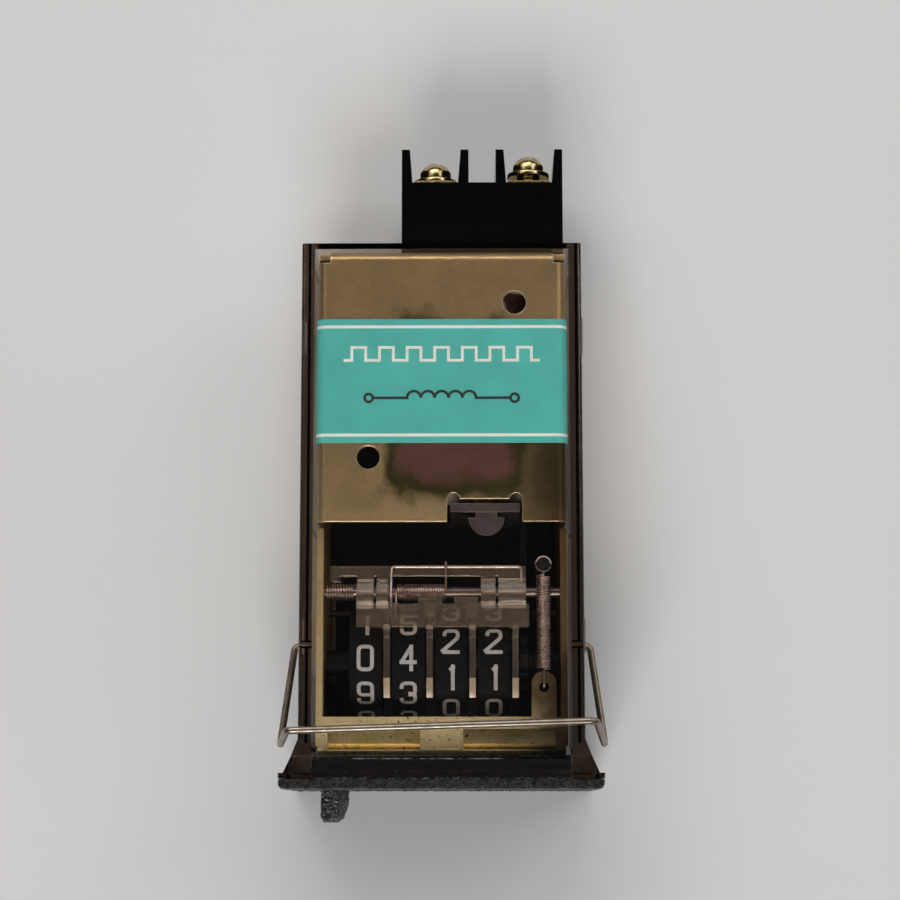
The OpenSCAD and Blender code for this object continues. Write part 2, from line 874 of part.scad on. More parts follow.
module ratchet_wheel() {
    x = ratchet_x();
    color([0.8, 0.78, 0.7])
    difference() {
        union() {
            along_x(x, x + ratchet_width)
            translate([wheel_setback, 0])
            polygon(saw(ratchet_teeth, ratchet_r - 1.2, ratchet_r));
            rod_x(bank_right + touch, x + ratchet_width + ratchet_step, wheel_setback, 0, hub_d);
        }
        rod_x(bank_right - 1, x + ratchet_width + 1, wheel_setback, 0, bore_d);
    }
}

module wheel_shaft() {
    color(steel)
    rod_x(-frame_w / 2, frame_w / 2, wheel_setback, 0, wheel_shaft_d);
}

module wheel_spacers() {
    color(steel)
    for (e = [[touch - frame_in, spacer_left], [frame_in - touch - spacer_right, spacer_right]]) {
        difference() {
            rod_x(e[0], e[0] + e[1], wheel_setback, 0, wheel_shaft_d + 1.4);
            rod_x(e[0] - 1, e[0] + e[1] + 1, wheel_setback, 0, wheel_shaft_d + 2 * touch);
        }
    }
}

module carry_pinion(k) {
    color([0.85, 0.83, 0.75])
    difference() {
        along_x(gap_x(k) - 1.3, gap_x(k) + 1.3)
        translate([pinion_y, pinion_z])
        polygon(teeth(8, pinion_r - 0.7, pinion_r));
        rod_x(gap_x(k) - 3, gap_x(k) + 3, pinion_y, pinion_z, pinion_shaft_d + 2 * play);
    }
}

module carry_pinion_1() {
    carry_pinion(1);
}

module carry_pinion_2() {
    carry_pinion(2);
}

module carry_pinion_3() {
    carry_pinion(3);
}

module pinion_shaft() {
    color(steel)
    rod_x(-frame_w / 2, frame_w / 2, pinion_y, pinion_z, pinion_shaft_d);
}

module comb_shaft() {
    color(steel)
    rod_x(-frame_w / 2, frame_w / 2, comb_y, comb_z, comb_shaft_d);
}

// Side outline of a comb bearing: hub, arm to the plate and arm to the rear bar
module bearing_2d() {
    translate([comb_y, comb_z])
    circle(hub_r);
    polygon([
        [comb_y - hub_r, comb_z],
        [comb_y + hub_r, comb_z],
        [comb_y + 1, plate_low + 0.2],
        [plate_rear + 0.8, plate_top],
        [plate_rear - 0.6, plate_top],
        [plate_rear - 0.6, plate_low]
    ]);
    polygon([
        [comb_y, bar_low],
        [bar_rear, bar_low],
        [bar_rear, bar_top],
        [comb_y, bar_top]
    ]);
}

// Side outline of a finger with its sloped tip
module finger_2d() {
    tip = comb_y - finger_reach;
    polygon([
        [tip, comb_z + 0.1],
        [plate_front - 1.5, comb_z + 0.1],
        [plate_front + 0.2, plate_low - 0.3],
        [plate_front + 0.6, plate_low],
        [plate_front + 0.6, plate_top],
        [plate_front - 0.4, plate_top],
        [plate_front - 1.4, plate_top - 1],
        [tip + 2.9, plate_top - 1.2],
        [tip, comb_z + 1.5]
    ]);
}

module reset_comb() {
    bore = comb_shaft_d + 2 * play;
    color(nylon)
    difference() {
        union() {
            box(comb_left, comb_right, plate_front, plate_rear, plate_low, plate_top);
            for (e = [[comb_left, comb_left + bearing_left_w],
                      [comb_left + bearing_left_w + bearing_gap, torsion_left - 2 * bearing_gap],
                      [bearing_right - bearing_gap - bearing_arm_w, bearing_right - bearing_gap],
                      [bearing_right, bearing_right + bearing_right_w]]) {
                along_x(e[0], e[1])
                bearing_2d();
            }
            for (k = [1 : 4]) {
                along_x(gap_x(k) - finger_width / 2, gap_x(k) + finger_width / 2)
                finger_2d();
                along_z(plate_low, plate_top)
                finger_root_2d(gap_x(k));
            }
            for (x = [torsion_mid, gap_x(3) - finger_width]) {
                box(x - lip_w / 2, x + lip_w / 2, plate_rear - 1, plate_rear + 1, plate_low, plate_top);
            }
            box(crank_x, comb_right - bearing_gap, bar_front, bar_rear, bar_low, bar_top);
            box(crank_x, crank_x + crank_w, crank_front, bar_front + 0.4, crank_low, bar_top);
        }
        rod_x(-case_width, case_width, comb_y, comb_z, bore);
        for (x = [torsion_mid - notch_step, torsion_mid + notch_step, bearing_right - notch_step]) {
            box(x - notch_w / 2, x + notch_w / 2, bar_front - 0.2, bar_rear + 1, bar_notch_low, bar_top + 1);
        }
        for (k = [1 : 4]) {
            translate([gap_x(k), plate_front + 0.9, plate_top - 0.3])
            cylinder(d = 1.1, h = 1);
        }
    }
}

// Fillets on both sides of the root of a finger
module finger_root_2d(x) {
    r = finger_fillet;
    for (s = [-1, 1]) {
        translate([x + s * (finger_width / 2 + r / 2), plate_front - r / 2 + touch])
        difference() {
            square([r + 2 * touch, r], center = true);
            translate([s * r / 2, -r / 2])
            circle(r);
        }
    }
}

module comb_torsion_spring() {
    r = shaft_spring_od / 2 - shaft_wire / 2;
    start = [torsion_left + shaft_wire / 2, comb_y, comb_z];
    coil = [for (p = helix(torsion_turns, torsion_pitch, r, 8, 90)) start + p];
    first = coil[0];
    last = coil[len(coil) - 1];
    color(steel)
    wire(concat(
        [[first[0], plate_front + 1, plate_low - 0.3], [first[0], comb_y - 1.2, comb_z + r + 0.2]],
        coil,
        [
            last + [0, 1.2, 0.5],
            [last[0], bar_front - 0.3, bar_top + 0.45],
            [last[0], bar_rear - 0.5, bar_top + 0.8],
            [last[0], bar_rear + 0.6, bar_top + 0.8]
        ]
    ), shaft_wire, 6);
}

module comb_wire() {
    left = torsion_left - 0.45;
    right = comb_right - 1.1;
    y = bar_rear - 0.15;
    z = bar_top + staple_wire / 2 + touch;
    color(steel)
    wire(rounded([
        [left, plate_rear - 0.9, plate_top + staple_wire / 2 + 0.05],
        [left, plate_rear + 1, plate_top + staple_wire / 2 + 0.05],
        [left, y, z],
        [right, y, z],
        [right, comb_y + 1.4, bar_top + 0.55]
    ], 0.5, 4), staple_wire, 8);
}

module shaft_spring() {
    turns = 8;
    length = comb_left + frame_in - 0.5 - shaft_wire;
    color(steel)
    translate([-frame_in + 0.2 + shaft_wire / 2, comb_y, comb_z])
    wire(helix(turns, length / turns, shaft_spring_od / 2 - shaft_wire / 2, 8, 0), shaft_wire, 6);
}

module return_spring() {
    r = return_od / 2 - return_wire / 2;
    over = frame_top + return_wire / 2 + 0.08;
    turns = helix(return_turns, return_pitch, r, 8, 0);
    coil = [for (p = turns) [lug_x - p[1], coil_front + p[0], return_z + p[2]]];
    loop = [for (a = [-90 : 30 : 190]) [lug_x + loop_r * cos(a), post_y + loop_r * sin(a), return_z]];
    color(steel)
    wire(concat(
        rounded([
            [lug_x, lug_hole_y, frame_top - sheet - 0.5],
            [lug_x, lug_hole_y, over],
            [lug_x, coil_front - 0.35, over + 0.05]
        ], 0.35, 4),
        coil,
        [[lug_x - 0.25, coil_front + return_turns * return_pitch + 0.3, return_z]],
        loop
    ), return_wire, 6);
}

module reset_slide() {
    horn_y = crank_front - move_gap;
    color(black)
    union() {
        box(-slide_w / 2, slide_w / 2, slide_front, slide_rear, slide_low, slide_top);
        box(tongue_x, tongue_x + tongue_w, tongue_front, slide_front + 3, slide_low, slide_low + tongue_h);
        box(crank_x, crank_x + crank_w, horn_y - 1.6, horn_y, slide_low + 0.2, horn_top);
        box(lug_x - post_w / 2, lug_x + post_w / 2, post_y - post_w / 2, post_y + post_w / 2, slide_low + 0.2,
            return_z - return_wire - 0.3);
        translate([lug_x, post_y, return_z - 2])
        cylinder(d = post_pin_d, h = 2.9);
    }
}

module reset_key() {
    color(black)
    difference() {
        union() {
            intersection() {
                along_y(key_front + key_draft, key_rear)
                key_outline(0);
                along_z(key_low - 1, key_low + key_height + 1)
                key_taper_2d();
            }
            along_y(key_front, key_front + key_draft + eps)
            translate([key_x + 0.3, key_low + 0.3])
            square([key_top_w - 0.3, key_height - 0.6]);
        }
        box(tongue_x - touch, tongue_x + tongue_w + touch, tongue_front - touch, key_rear + 1,
            slide_low - touch, slide_low + tongue_h + touch);
    }
}

// Plan of the key, which narrows on its right side towards the front
module key_taper_2d() {
    polygon([
        [key_x - 1, key_front],
        [key_x + key_top_w + 0.4, key_front],
        [key_x + key_width + 0.1, key_front + 0.7 * key_length],
        [key_x + key_width + 0.1, key_rear + 1],
        [key_x - 1, key_rear + 1]
    ]);
}

module terminal_block() {
    half = block_width / 2;
    color(black)
    difference() {
        union() {
            along_y(case_length + touch, block_rear)
            translate([block_x, 0])
            square([block_width, block_height], center = true);
            along_y(rear_in + 0.1, case_length + 1)
            translate([block_x, 0])
            square([spigot_w - 2 * spigot_fit, spigot_h - 2 * spigot_fit], center = true);
            along_z(-block_height / 2, block_height / 2)
            barriers_2d(half);
        }
        for (k = [1, 2]) {
            rod_y(case_length + 1, barrier_rear, terminal_x(k), screw_rise, screw_d + 2 * screw_gap);
            along_y(rear_in - 1, block_rear + 1)
            translate([terminal_x(k), tail_z])
            square([tail_w + 2 * tail_fit, plate_t + 2 * tail_fit], center = true);
        }
    }
}

// Four barriers with slanted inner sides
module barriers_2d(half) {
    for (s = [-1, 1]) {
        translate([block_x, block_rear - eps])
        polygon([
            [s * half, 0],
            [s * (half - barrier_base), 0],
            [s * (half - barrier_tip), barrier_length],
            [s * half, barrier_length]
        ]);
        translate([block_x, block_rear - eps])
        polygon([
            [s * middle_gap / 2, 0],
            [s * (middle_gap / 2 + barrier_base), 0],
            [s * (middle_gap / 2 + barrier_tip), barrier_length],
            [s * middle_gap / 2, barrier_length]
        ]);
    }
}

module terminal_plate(k) {
    x = terminal_x(k);
    color([0.8, 0.72, 0.5])
    difference() {
        union() {
            box(x - plate_w / 2, x + plate_w / 2, block_rear + touch, block_rear + plate_t,
                tail_z - plate_t / 2, screw_rise + plate_w / 2 + 0.2);
            box(x - tail_w / 2, x + tail_w / 2, tail_front, block_rear + plate_t,
                tail_z - plate_t / 2, tail_z + plate_t / 2);
        }
        rod_y(block_rear - 1, block_rear + 2, x, screw_rise, screw_d + 2 * screw_gap);
    }
}

module terminal_plate_left() {
    terminal_plate(1);
}

module terminal_plate_right() {
    terminal_plate(2);
}

module washer(k, out) {
    seat = block_rear + plate_t + touch + out;
    color(steel)
    difference() {
        rod_y(seat, seat + washer_t, terminal_x(k), screw_rise, washer_d);
        rod_y(seat - 1, seat + 2, terminal_x(k), screw_rise, screw_d + 2 * screw_gap);
    }
}

module washer_left() {
    washer(1, 0);
}

module washer_right() {
    washer(2, screw_backed_out);
}

module terminal_screw(k, out) {
    seat = block_rear + plate_t + washer_t + 2 * touch + out;
    ball = (head_d * head_d / 4 + head_dome * head_dome) / (2 * head_dome);
    color([0.8, 0.74, 0.58])
    translate([0, 0, screw_rise])
    difference() {
        union() {
            rod_y(seat - 8, seat + 0.1, terminal_x(k), 0, screw_d);
            rod_y(seat, seat + head_h - head_dome, terminal_x(k), 0, head_d);
            intersection() {
                translate([terminal_x(k), seat + head_h - ball, 0])
                sphere(ball);
                rod_y(seat + head_h - head_dome - eps, seat + head_h + 1, terminal_x(k), 0, head_d);
            }
        }
        for (a = [0, 90]) {
            translate([terminal_x(k), seat + head_h, 0])
            rotate([0, a + 25, 0])
            cube([0.75, 2.4, 3.2], center = true);
        }
    }
}

module terminal_screw_left() {
    terminal_screw(1, 0);
}

module terminal_screw_right() {
    terminal_screw(2, screw_backed_out);
}

module mounting_bail() {
    left_y = bail_bar - bail_skew / 2;
    right_y = bail_bar + bail_skew / 2;
    color(steel)
    wire(rounded([
        [-bail_end, bail_pivot, 0],
        [-bail_out, bail_pivot, 0],
        [-bail_foot_x, bail_foot_y, 0],
        [-bail_top_x, left_y, bail_top_z],
        [bail_top_x, right_y, bail_top_z],
        [bail_foot_x, bail_foot_y, 0],
        [bail_out, bail_pivot, 0],
        [bail_end, bail_pivot, 0]
    ], bail_bend, 6), bail_wire, 12);
}

case();
bezel();
display_window();
mounting_bail();
main_frame();
display_mask();
yoke();
label();
core();
bobbin();
winding();
coil_leads();
armature();
armature_spring();
drive_lever();
number_wheel_1();
number_wheel_2();
number_wheel_3();
number_wheel_4();
ratchet_wheel();
wheel_shaft();
wheel_spacers();
carry_pinion_1();
carry_pinion_2();
carry_pinion_3();
pinion_shaft();
comb_shaft();
reset_comb();
comb_torsion_spring();
comb_wire();
shaft_spring();
return_spring();
reset_slide();
reset_key();
terminal_block();
terminal_plate_left();
terminal_plate_right();
washer_left();
washer_right();
terminal_screw_left();
terminal_screw_right();
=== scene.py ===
"""Finish of a four-digit panel counter: clear case, sheet frame, number wheels, reset comb, terminals."""

import json
import math
from functools import partial

import bmesh
import bpy
from bpy.props import FloatProperty, FloatVectorProperty, PointerProperty
from mathutils import Matrix, Vector, noise


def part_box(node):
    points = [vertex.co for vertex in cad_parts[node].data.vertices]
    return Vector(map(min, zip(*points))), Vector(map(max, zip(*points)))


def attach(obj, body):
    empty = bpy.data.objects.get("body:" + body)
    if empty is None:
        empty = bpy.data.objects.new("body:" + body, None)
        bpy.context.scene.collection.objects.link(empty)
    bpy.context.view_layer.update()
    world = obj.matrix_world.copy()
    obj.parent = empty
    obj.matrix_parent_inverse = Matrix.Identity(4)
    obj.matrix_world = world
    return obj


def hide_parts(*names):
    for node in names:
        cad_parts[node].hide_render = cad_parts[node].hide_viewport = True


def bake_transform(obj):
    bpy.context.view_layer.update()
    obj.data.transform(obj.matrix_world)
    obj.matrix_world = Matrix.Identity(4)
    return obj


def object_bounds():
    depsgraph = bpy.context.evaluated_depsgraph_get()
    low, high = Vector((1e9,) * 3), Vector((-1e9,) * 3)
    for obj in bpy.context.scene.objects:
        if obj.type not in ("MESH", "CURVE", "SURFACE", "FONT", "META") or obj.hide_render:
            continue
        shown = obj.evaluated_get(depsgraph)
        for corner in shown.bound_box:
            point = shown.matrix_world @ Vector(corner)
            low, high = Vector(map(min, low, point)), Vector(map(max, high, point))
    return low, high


bl_info = {
    "name": "Panel counter finish",
    "version": (1, 0, 0),
    "blender": (4, 5, 0),
    "location": "View3D > Sidebar > Counter",
    "description": "Dresses the pieces of a panel counter and sets its stage",
    "category": "Object",
}

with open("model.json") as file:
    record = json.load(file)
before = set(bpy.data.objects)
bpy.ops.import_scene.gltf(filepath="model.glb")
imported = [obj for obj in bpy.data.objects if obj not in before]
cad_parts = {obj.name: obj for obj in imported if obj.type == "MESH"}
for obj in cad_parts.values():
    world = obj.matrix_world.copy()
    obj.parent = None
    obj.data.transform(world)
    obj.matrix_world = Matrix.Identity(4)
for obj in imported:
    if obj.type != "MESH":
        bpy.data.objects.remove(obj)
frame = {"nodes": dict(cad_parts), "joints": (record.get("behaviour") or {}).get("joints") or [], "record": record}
CAD_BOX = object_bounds()
RECORD = frame["record"]
SLOT_OF = {part["node"]: part["material_slot"] for part in RECORD["subparts"]}
BODY_OF = {node: body for body, nodes in RECORD["behaviour"]["bodies"].items() for node in nodes}
JOINTS = {joint["name"]: joint for joint in frame["joints"]}

MM = 0.001
X_AXIS = Vector((1, 0, 0))
Y_AXIS = Vector((0, 1, 0))
Z_AXIS = Vector((0, 0, 1))
# Strokes that cross lie this far above one another, so that no two share a plane
STROKE_STEP = 0.002 * MM
# Printed strokes start this far above what they are printed on
INK_LIFT = 0.004 * MM


def millimetres(name, description, default):
    """A length that a user may change, given in millimetres and held in metres."""
    return FloatProperty(name=name, description=description, default=default * MM, unit="LENGTH", precision=5)


def colour(name, description, default):
    """A colour that a user may change."""
    return FloatVectorProperty(
        name=name, description=description, default=default, subtype="COLOR", min=0, max=1
    )


class CounterSizes(bpy.types.PropertyGroup):
    """Sizes of the finish."""

    case_edge: millimetres("Case edge", "Rounding of the edges of the clear case", 0.22)
    sheet_edge: millimetres("Sheet edge", "Rounding of the cut edges of the sheet", 0.17)
    moulded_edge: millimetres("Moulded edge", "Rounding of the edges of moulded pieces", 0.12)
    turned_edge: millimetres("Turned edge", "Rounding of the edges of turned and ground pieces", 0.06)
    foil_edge: millimetres("Foil edge", "Rounding of the edges of the label", 0.03)
    grain_cell: millimetres("Grain cell", "Mesh spacing of the grained front", 0.3)
    grain_height: millimetres("Grain height", "Height of the leather grain", 0.17)
    grain_pitch: millimetres("Grain pitch", "Size of one lump of the leather grain", 0.85)
    numeral_height: millimetres("Numeral height", "Height of a numeral along the rim of its wheel", 4.0)
    numeral_width: millimetres("Numeral width", "Width of a numeral", 2.58)
    numeral_stroke: millimetres("Numeral stroke", "Width of the strokes of a numeral", 0.56)
    numeral_bend: millimetres("Numeral bend", "Radius of the round corners of a numeral", 0.62)
    ink_height: millimetres("Ink height", "Thickness of printed ink", 0.02)
    rule_width: millimetres("Rule width", "Width of the two white rules on the label", 0.45)
    rule_inset: millimetres("Rule inset", "Distance of the rules from the ends of the label", 1.2)


class CounterColours(bpy.types.PropertyGroup):
    """Colours of the finish."""

    smoke: colour("Smoke", "Tint of the clear case", (0.28, 0.16, 0.055))
    gold: colour("Gold", "Plated sheet, main colour", (0.40, 0.285, 0.148))
    # Pale gold and front gold are painted light: the sheet is painted brighter towards the front.
    pale_gold: colour("Pale gold", "Plated sheet, brighter gold near the front", (0.80, 0.63, 0.34))
    front_gold: colour("Front gold", "Plated sheet, bright strip at the front", (1.0, 0.82, 0.46))
    # Olive and brown are painted shade: the sheet is painted darker towards the right.
    olive: colour("Olive", "Plated sheet, dull olive towards the right", (0.058, 0.045, 0.019))
    brown: colour("Brown", "Plated sheet, dull brown near the front right", (0.15, 0.085, 0.04))
    rose: colour("Rose", "Plated sheet, rose cast", (0.2, 0.093, 0.085))
    green: colour("Green", "Plated sheet, green cast", (0.07, 0.062, 0.021))
    speck: colour("Speck", "Plated sheet, dark specks", (0.03, 0.024, 0.015))
    # The worn edges of the sheet are also brightened as a painted highlight.
    rubbed: colour("Rubbed", "Plated sheet, rubbed edges", (0.72, 0.6, 0.4))
    mask_yellow: colour("Mask yellow", "Display mask, main colour", (0.95, 0.76, 0.46))
    mask_green: colour("Mask green", "Display mask, green clouds", (0.72, 0.62, 0.25))
    teal: colour("Teal", "Field of the label", (0.066, 0.45, 0.425))
    teal_edge: colour("Teal edge", "Rubbed edges of the label", (0.45, 0.62, 0.58))
    white_ink: colour("White ink", "Rules and pulse line of the label", (0.72, 0.80, 0.78))
    black_ink: colour("Black ink", "Coil sign of the label", (0.012, 0.014, 0.014))
    numeral: colour("Numeral", "Numerals of the wheels", (0.37, 0.365, 0.37))
    nylon: colour("Nylon", "Clear nylon of the comb", (0.52, 0.43, 0.35))
    tan: colour("Tan", "Bright facets at the finger tips", (0.36, 0.29, 0.20))
    grey_dust: colour("Grey dust", "Dust on plain plastic", (0.30, 0.28, 0.26))
    dark_dust: colour("Dark dust", "Dust on the grained front", (0.10, 0.088, 0.078))
    floor: colour("Floor", "Pale floor under the counter", (0.70, 0.69, 0.68))


def sizes():
    """The sizes as the user has set them."""
    return bpy.context.scene.counter_sizes


def colours():
    """The colours as the user has set them."""
    return bpy.context.scene.counter_colours


def shade(base, share, lift=0.0):
    """A colour at that share of its brightness, with a lift added to each channel."""
    return [min(1, channel * share + lift) for channel in base]


# Shader nodes, and the node groups that several finishes share


def put(tree, kind, settings=None, **inputs):
    """Adds a node. Inputs are values or sockets, named with _ for a space, or by i and a number."""
    node = tree.nodes.new(kind)
    for name, value in (settings or {}).items():
        setattr(node, name, value)
    for name, value in inputs.items():
        by_number = name[0] == "i" and name[1:].isdigit()
        socket = node.inputs[int(name[1:]) if by_number else name.replace("_", " ")]
        if isinstance(value, bpy.types.NodeSocket):
            tree.links.new(value, socket)
        else:
            socket.default_value = value
    return node


def opaque(value):
    """A colour with full alpha. A socket stays as it is."""
    return value if isinstance(value, bpy.types.NodeSocket) else (*value[:3], 1)


def cut(tree, value, low, high):
    """A mask that rises from 0 to 1 where the value goes from low to high."""
    return put(tree, "ShaderNodeMapRange", Value=value, From_Min=low, From_Max=high).outputs["Result"]


def product(tree, *values):
    """The product of values."""
    total = values[0]
    for value in values[1:]:
        total = put(tree, "ShaderNodeMath", {"operation": "MULTIPLY"}, i0=total, i1=value).outputs[0]
    return total


def group_noise(tree, given, detail, roughness):
    """Noise at the place and scale that a group is given."""
    place = {"Vector": given["Vector"], "Scale": given["Scale"]}
    return put(tree, "ShaderNodeTexNoise", Detail=detail, Roughness=roughness, **place).outputs["Fac"]


def cloud(tree, given):
    """Soft patches: noise cut between two levels."""
    return cut(tree, group_noise(tree, given, given["Detail"], 0.6), given["Low"], given["High"])


def relief(tree, given):
    """Fine relief: noise as a bump."""
    lumps = group_noise(tree, given, given["Detail"], 0.55)
    return put(tree, "ShaderNodeBump", Strength=1.0, Distance=given["Depth"], Height=lumps).outputs["Normal"]


def worn_edge(tree, given):
    """Worn edges: the rounded edges of a piece, broken up by noise."""
    edge = put(tree, "ShaderNodeAttribute", {"attribute_name": "edge"}).outputs["Fac"]
    broken = cut(tree, group_noise(tree, given, 4.0, 0.7), 0.36, 0.62)
    return product(tree, edge, broken, given["Amount"])


def dust(tree, given):
    """Dust specks that lie on the sides that face up."""
    specks = cut(tree, group_noise(tree, given, 6.0, 0.75), 0.56, 0.72)
    normal = put(tree, "ShaderNodeNewGeometry").outputs["Normal"]
    upward = cut(tree, put(tree, "ShaderNodeSeparateXYZ", Vector=normal).outputs["Z"], 0.2, 0.9)
    return product(tree, specks, upward, given["Amount"])


def shared_group(build, output, kind, values):
    """The node group that build fills, made the first time. It takes a Vector and named values."""
    name = build.__name__
    tree = bpy.data.node_groups.get(name)
    if tree:
        return tree
    tree = bpy.data.node_groups.new(name, "ShaderNodeTree")
    tree.interface.new_socket("Vector", in_out="INPUT", socket_type="NodeSocketVector")
    for socket, value in values.items():
        made = tree.interface.new_socket(socket, in_out="INPUT", socket_type="NodeSocketFloat")
        made.default_value = value
    tree.interface.new_socket(output, in_out="OUTPUT", socket_type=kind)
    given = tree.nodes.new("NodeGroupInput").outputs
    end = tree.nodes.new("NodeGroupOutput")
    tree.links.new(build(tree, given), end.inputs[output])
    return tree


class Finish:
    """A material under construction: its node tree, its shader and the piece's own coordinates."""

    wander_scale = 90.0
    # Noise adds up to this to a coordinate, and half of it on average
    wander_reach = 12 * MM

    def __init__(self, name, **sockets):
        self.material = bpy.data.materials.new(f"{name}_finish")
        self.material.use_nodes = True
        self.tree = self.material.node_tree
        self.put = partial(put, self.tree)
        self.shader = self.tree.nodes["Principled BSDF"]
        self.place = self.put("ShaderNodeTexCoord").outputs["Object"]
        for socket, value in sockets.items():
            self.shader.inputs[socket.replace("_", " ")].default_value = value

    def group(self, build, output="Mask", kind="NodeSocketFloat", **values):
        """What a shared group gives for these values."""
        tree = shared_group(build, output, kind, values)
        return self.put("ShaderNodeGroup", {"node_tree": tree}, Vector=self.place, **values).outputs[output]

    def cloud(self, scale, low=0.4, high=0.6, detail=3.0):
        """A mask of soft patches."""
        return self.group(cloud, Scale=scale, Detail=detail, Low=low, High=high)

    def edge(self, scale, amount):
        """A mask of worn edges."""
        return self.group(worn_edge, Scale=scale, Amount=amount)

    def dust(self, scale, amount):
        """A mask of dust."""
        return self.group(dust, Scale=scale, Amount=amount)

    def mix(self, mask, first, second, blend="MIX"):
        """first where the mask is 0, second where it is 1. Each is a colour or a socket."""
        kind = {"data_type": "RGBA", "blend_type": blend}
        return self.put("ShaderNodeMix", kind, i0=mask, i6=opaque(first), i7=opaque(second)).outputs[2]

    def darken(self, mask, base, share):
        """The colour, brought down to that share of itself where the mask is 1."""
        return self.mix(mask, base, (share, share, share), "MULTIPLY")

    def mottle(self, base, share, *patches, lift=0.0):
        """A colour that is brought down to a share of itself in patches, which may be lifted again."""
        return self.mix(self.cloud(*patches), base, shade(base, share, lift))

    def ramp(self, value, start, end):
        """A soft mask, 0 before start and 1 past end, both in millimetres."""
        limits = {"From_Min": start * MM, "From_Max": end * MM}
        node = self.put("ShaderNodeMapRange", {"interpolation_type": "SMOOTHSTEP"}, Value=value, **limits)
        return node.outputs["Result"]

    def both(self, *masks):
        """A mask of what is in all of the masks."""
        return product(self.tree, *masks)

    def between(self, mask, low, high):
        """A value that goes from low to high with the mask."""
        return self.put("ShaderNodeMapRange", Value=mask, To_Min=low, To_Max=high).outputs["Result"]

    def axis(self, letter):
        """One coordinate of the piece."""
        return self.put("ShaderNodeSeparateXYZ", Vector=self.place).outputs[letter]

    def wander(self):
        """The X and Y of the piece, pushed about by noise."""
        noisy = {"Scale": self.wander_scale, "Detail": 4.0, "Roughness": 0.6}
        clouds = self.put("ShaderNodeTexNoise", Vector=self.place, **noisy).outputs["Color"]
        reach = (self.wander_reach,) * 3
        push = {"operation": "MULTIPLY_ADD"}
        moved = self.put("ShaderNodeVectorMath", push, i0=clouds, i1=reach, i2=self.place)
        parts = self.put("ShaderNodeSeparateXYZ", Vector=moved.outputs[0])
        return parts.outputs["X"], parts.outputs["Y"]

    def set(self, socket, source):
        """Links a socket of the shader."""
        self.tree.links.new(source, self.shader.inputs[socket])

    def rough(self, low, high, *patches):
        """Roughness that goes from low to high in patches, given as for cloud."""
        self.set("Roughness", self.between(self.cloud(*patches), low, high))

    def relief(self, scale, depth, detail=3.0):
        """Bumps the surface by noise of that depth."""
        values = {"Scale": scale, "Detail": detail, "Depth": depth}
        self.set("Normal", self.group(relief, "Normal", "NodeSocketVector", **values))

    def let_light_through(self, tint):
        """Shadow rays pass the clear wall with a tint, so light falls on what is inside."""
        output = self.tree.nodes["Material Output"]
        clear = self.put("ShaderNodeBsdfTransparent", Color=(*tint, 1)).outputs[0]
        ray = self.put("ShaderNodeLightPath").outputs["Is Shadow Ray"]
        either = self.put("ShaderNodeMixShader", i0=ray, i1=self.shader.outputs[0], i2=clear)
        self.tree.links.new(either.outputs[0], output.inputs["Surface"])
        return output


# Finishes, one for each material slot of the record and some for parts of a piece

ACRYLIC_IOR = 1.49
NYLON_IOR = 1.53
SMOKE_DENSITY = 100.0
SHEET_GRAIN = (2400.0, 0.012 * MM, 4.0)
BLACK = (0.002, 0.002, 0.002)
BLUE_BLACK = (0.002, 0.002, 0.0022)
CLEAN_BLACK = (0.003, 0.003, 0.003)
SOFT_BLACK = (0.004, 0.0038, 0.0038)


class Casts:
    """Places on the plated sheet, in millimetres along an axis: where a cast sets in and where it is full."""

    # Painted light: the sheet is brighter towards the front and brightest on the front strip
    front_y = (22, 12)
    pale_y = (59, 14)
    # Painted shade: darker towards the right, and brown towards the front right
    brown_y = (50, 38)
    dull_x = (8, 26)
    dull_y = (72, 60)
    stain_x = ((-5, 4), (22, 13))
    stain_y = ((43, 54), (78, 68))
    # Painted shade low inside the front of the frame; the height limits also darken the mask
    inside_z = (6.5, 4.5)
    inside_y = (24, 20)
    # Painted shade in the front right corner, over the lug
    corner_x = (16, 21)
    corner_y = (26, 22)
    # Painted shade in a band low on the sheet, towards the rear
    floor_z = ((-10.2, -10.7), (-11.9, -11.6))
    floor_y = (36, 42)
    # Painted shade on the display mask towards the right
    mask_x = (6, 16)


def clear_smoke():
    """Clear moulding of brownish smoke, worn a little on the outside."""
    made = Finish("clear_smoke", Base_Color=(1, 1, 1, 1), IOR=ACRYLIC_IOR, Transmission_Weight=1.0)
    made.rough(0.015, 0.07, 160.0, 0.5, 0.8, 5.0)
    output = made.let_light_through((0.95, 0.92, 0.88))
    depth = made.put("ShaderNodeVolumeAbsorption", Color=(*colours().smoke, 1), Density=SMOKE_DENSITY)
    made.tree.links.new(depth.outputs[0], output.inputs["Volume"])
    return made.material


def clear_pane():
    """Clear pane over the display opening."""
    made = Finish("clear_pane", Base_Color=(0.97, 0.98, 0.97, 1), IOR=ACRYLIC_IOR, Transmission_Weight=1.0)
    made.rough(0.01, 0.05, 300.0, 0.5, 0.8)
    made.let_light_through((0.96, 0.97, 0.96))
    return made.material


def clear_nylon():
    """Milky clear nylon."""
    made = Finish("clear_nylon", IOR=NYLON_IOR, Transmission_Weight=0.93)
    made.set("Base Color", made.mottle(colours().nylon, 0.9, 420.0, 0.35, 0.7))
    made.rough(0.1, 0.2, 300.0, 0.3, 0.7)
    made.let_light_through((0.86, 0.83, 0.77))
    return made.material


def leather_grain(name, gloss, dark, light):
    """Black moulding with a leather grain, greyed with dust in the hollows."""
    made = Finish(name, Specular_IOR_Level=gloss)
    mottled = made.mix(made.cloud(900.0, 0.4, 0.7), dark, light)
    made.set("Base Color", made.mix(made.dust(1300.0, 0.05), mottled, colours().dark_dust))
    made.rough(0.16, 0.3, 1200.0, 0.35, 0.65)
    made.relief(1700.0, 0.6 * MM, 2.0)
    return made.material


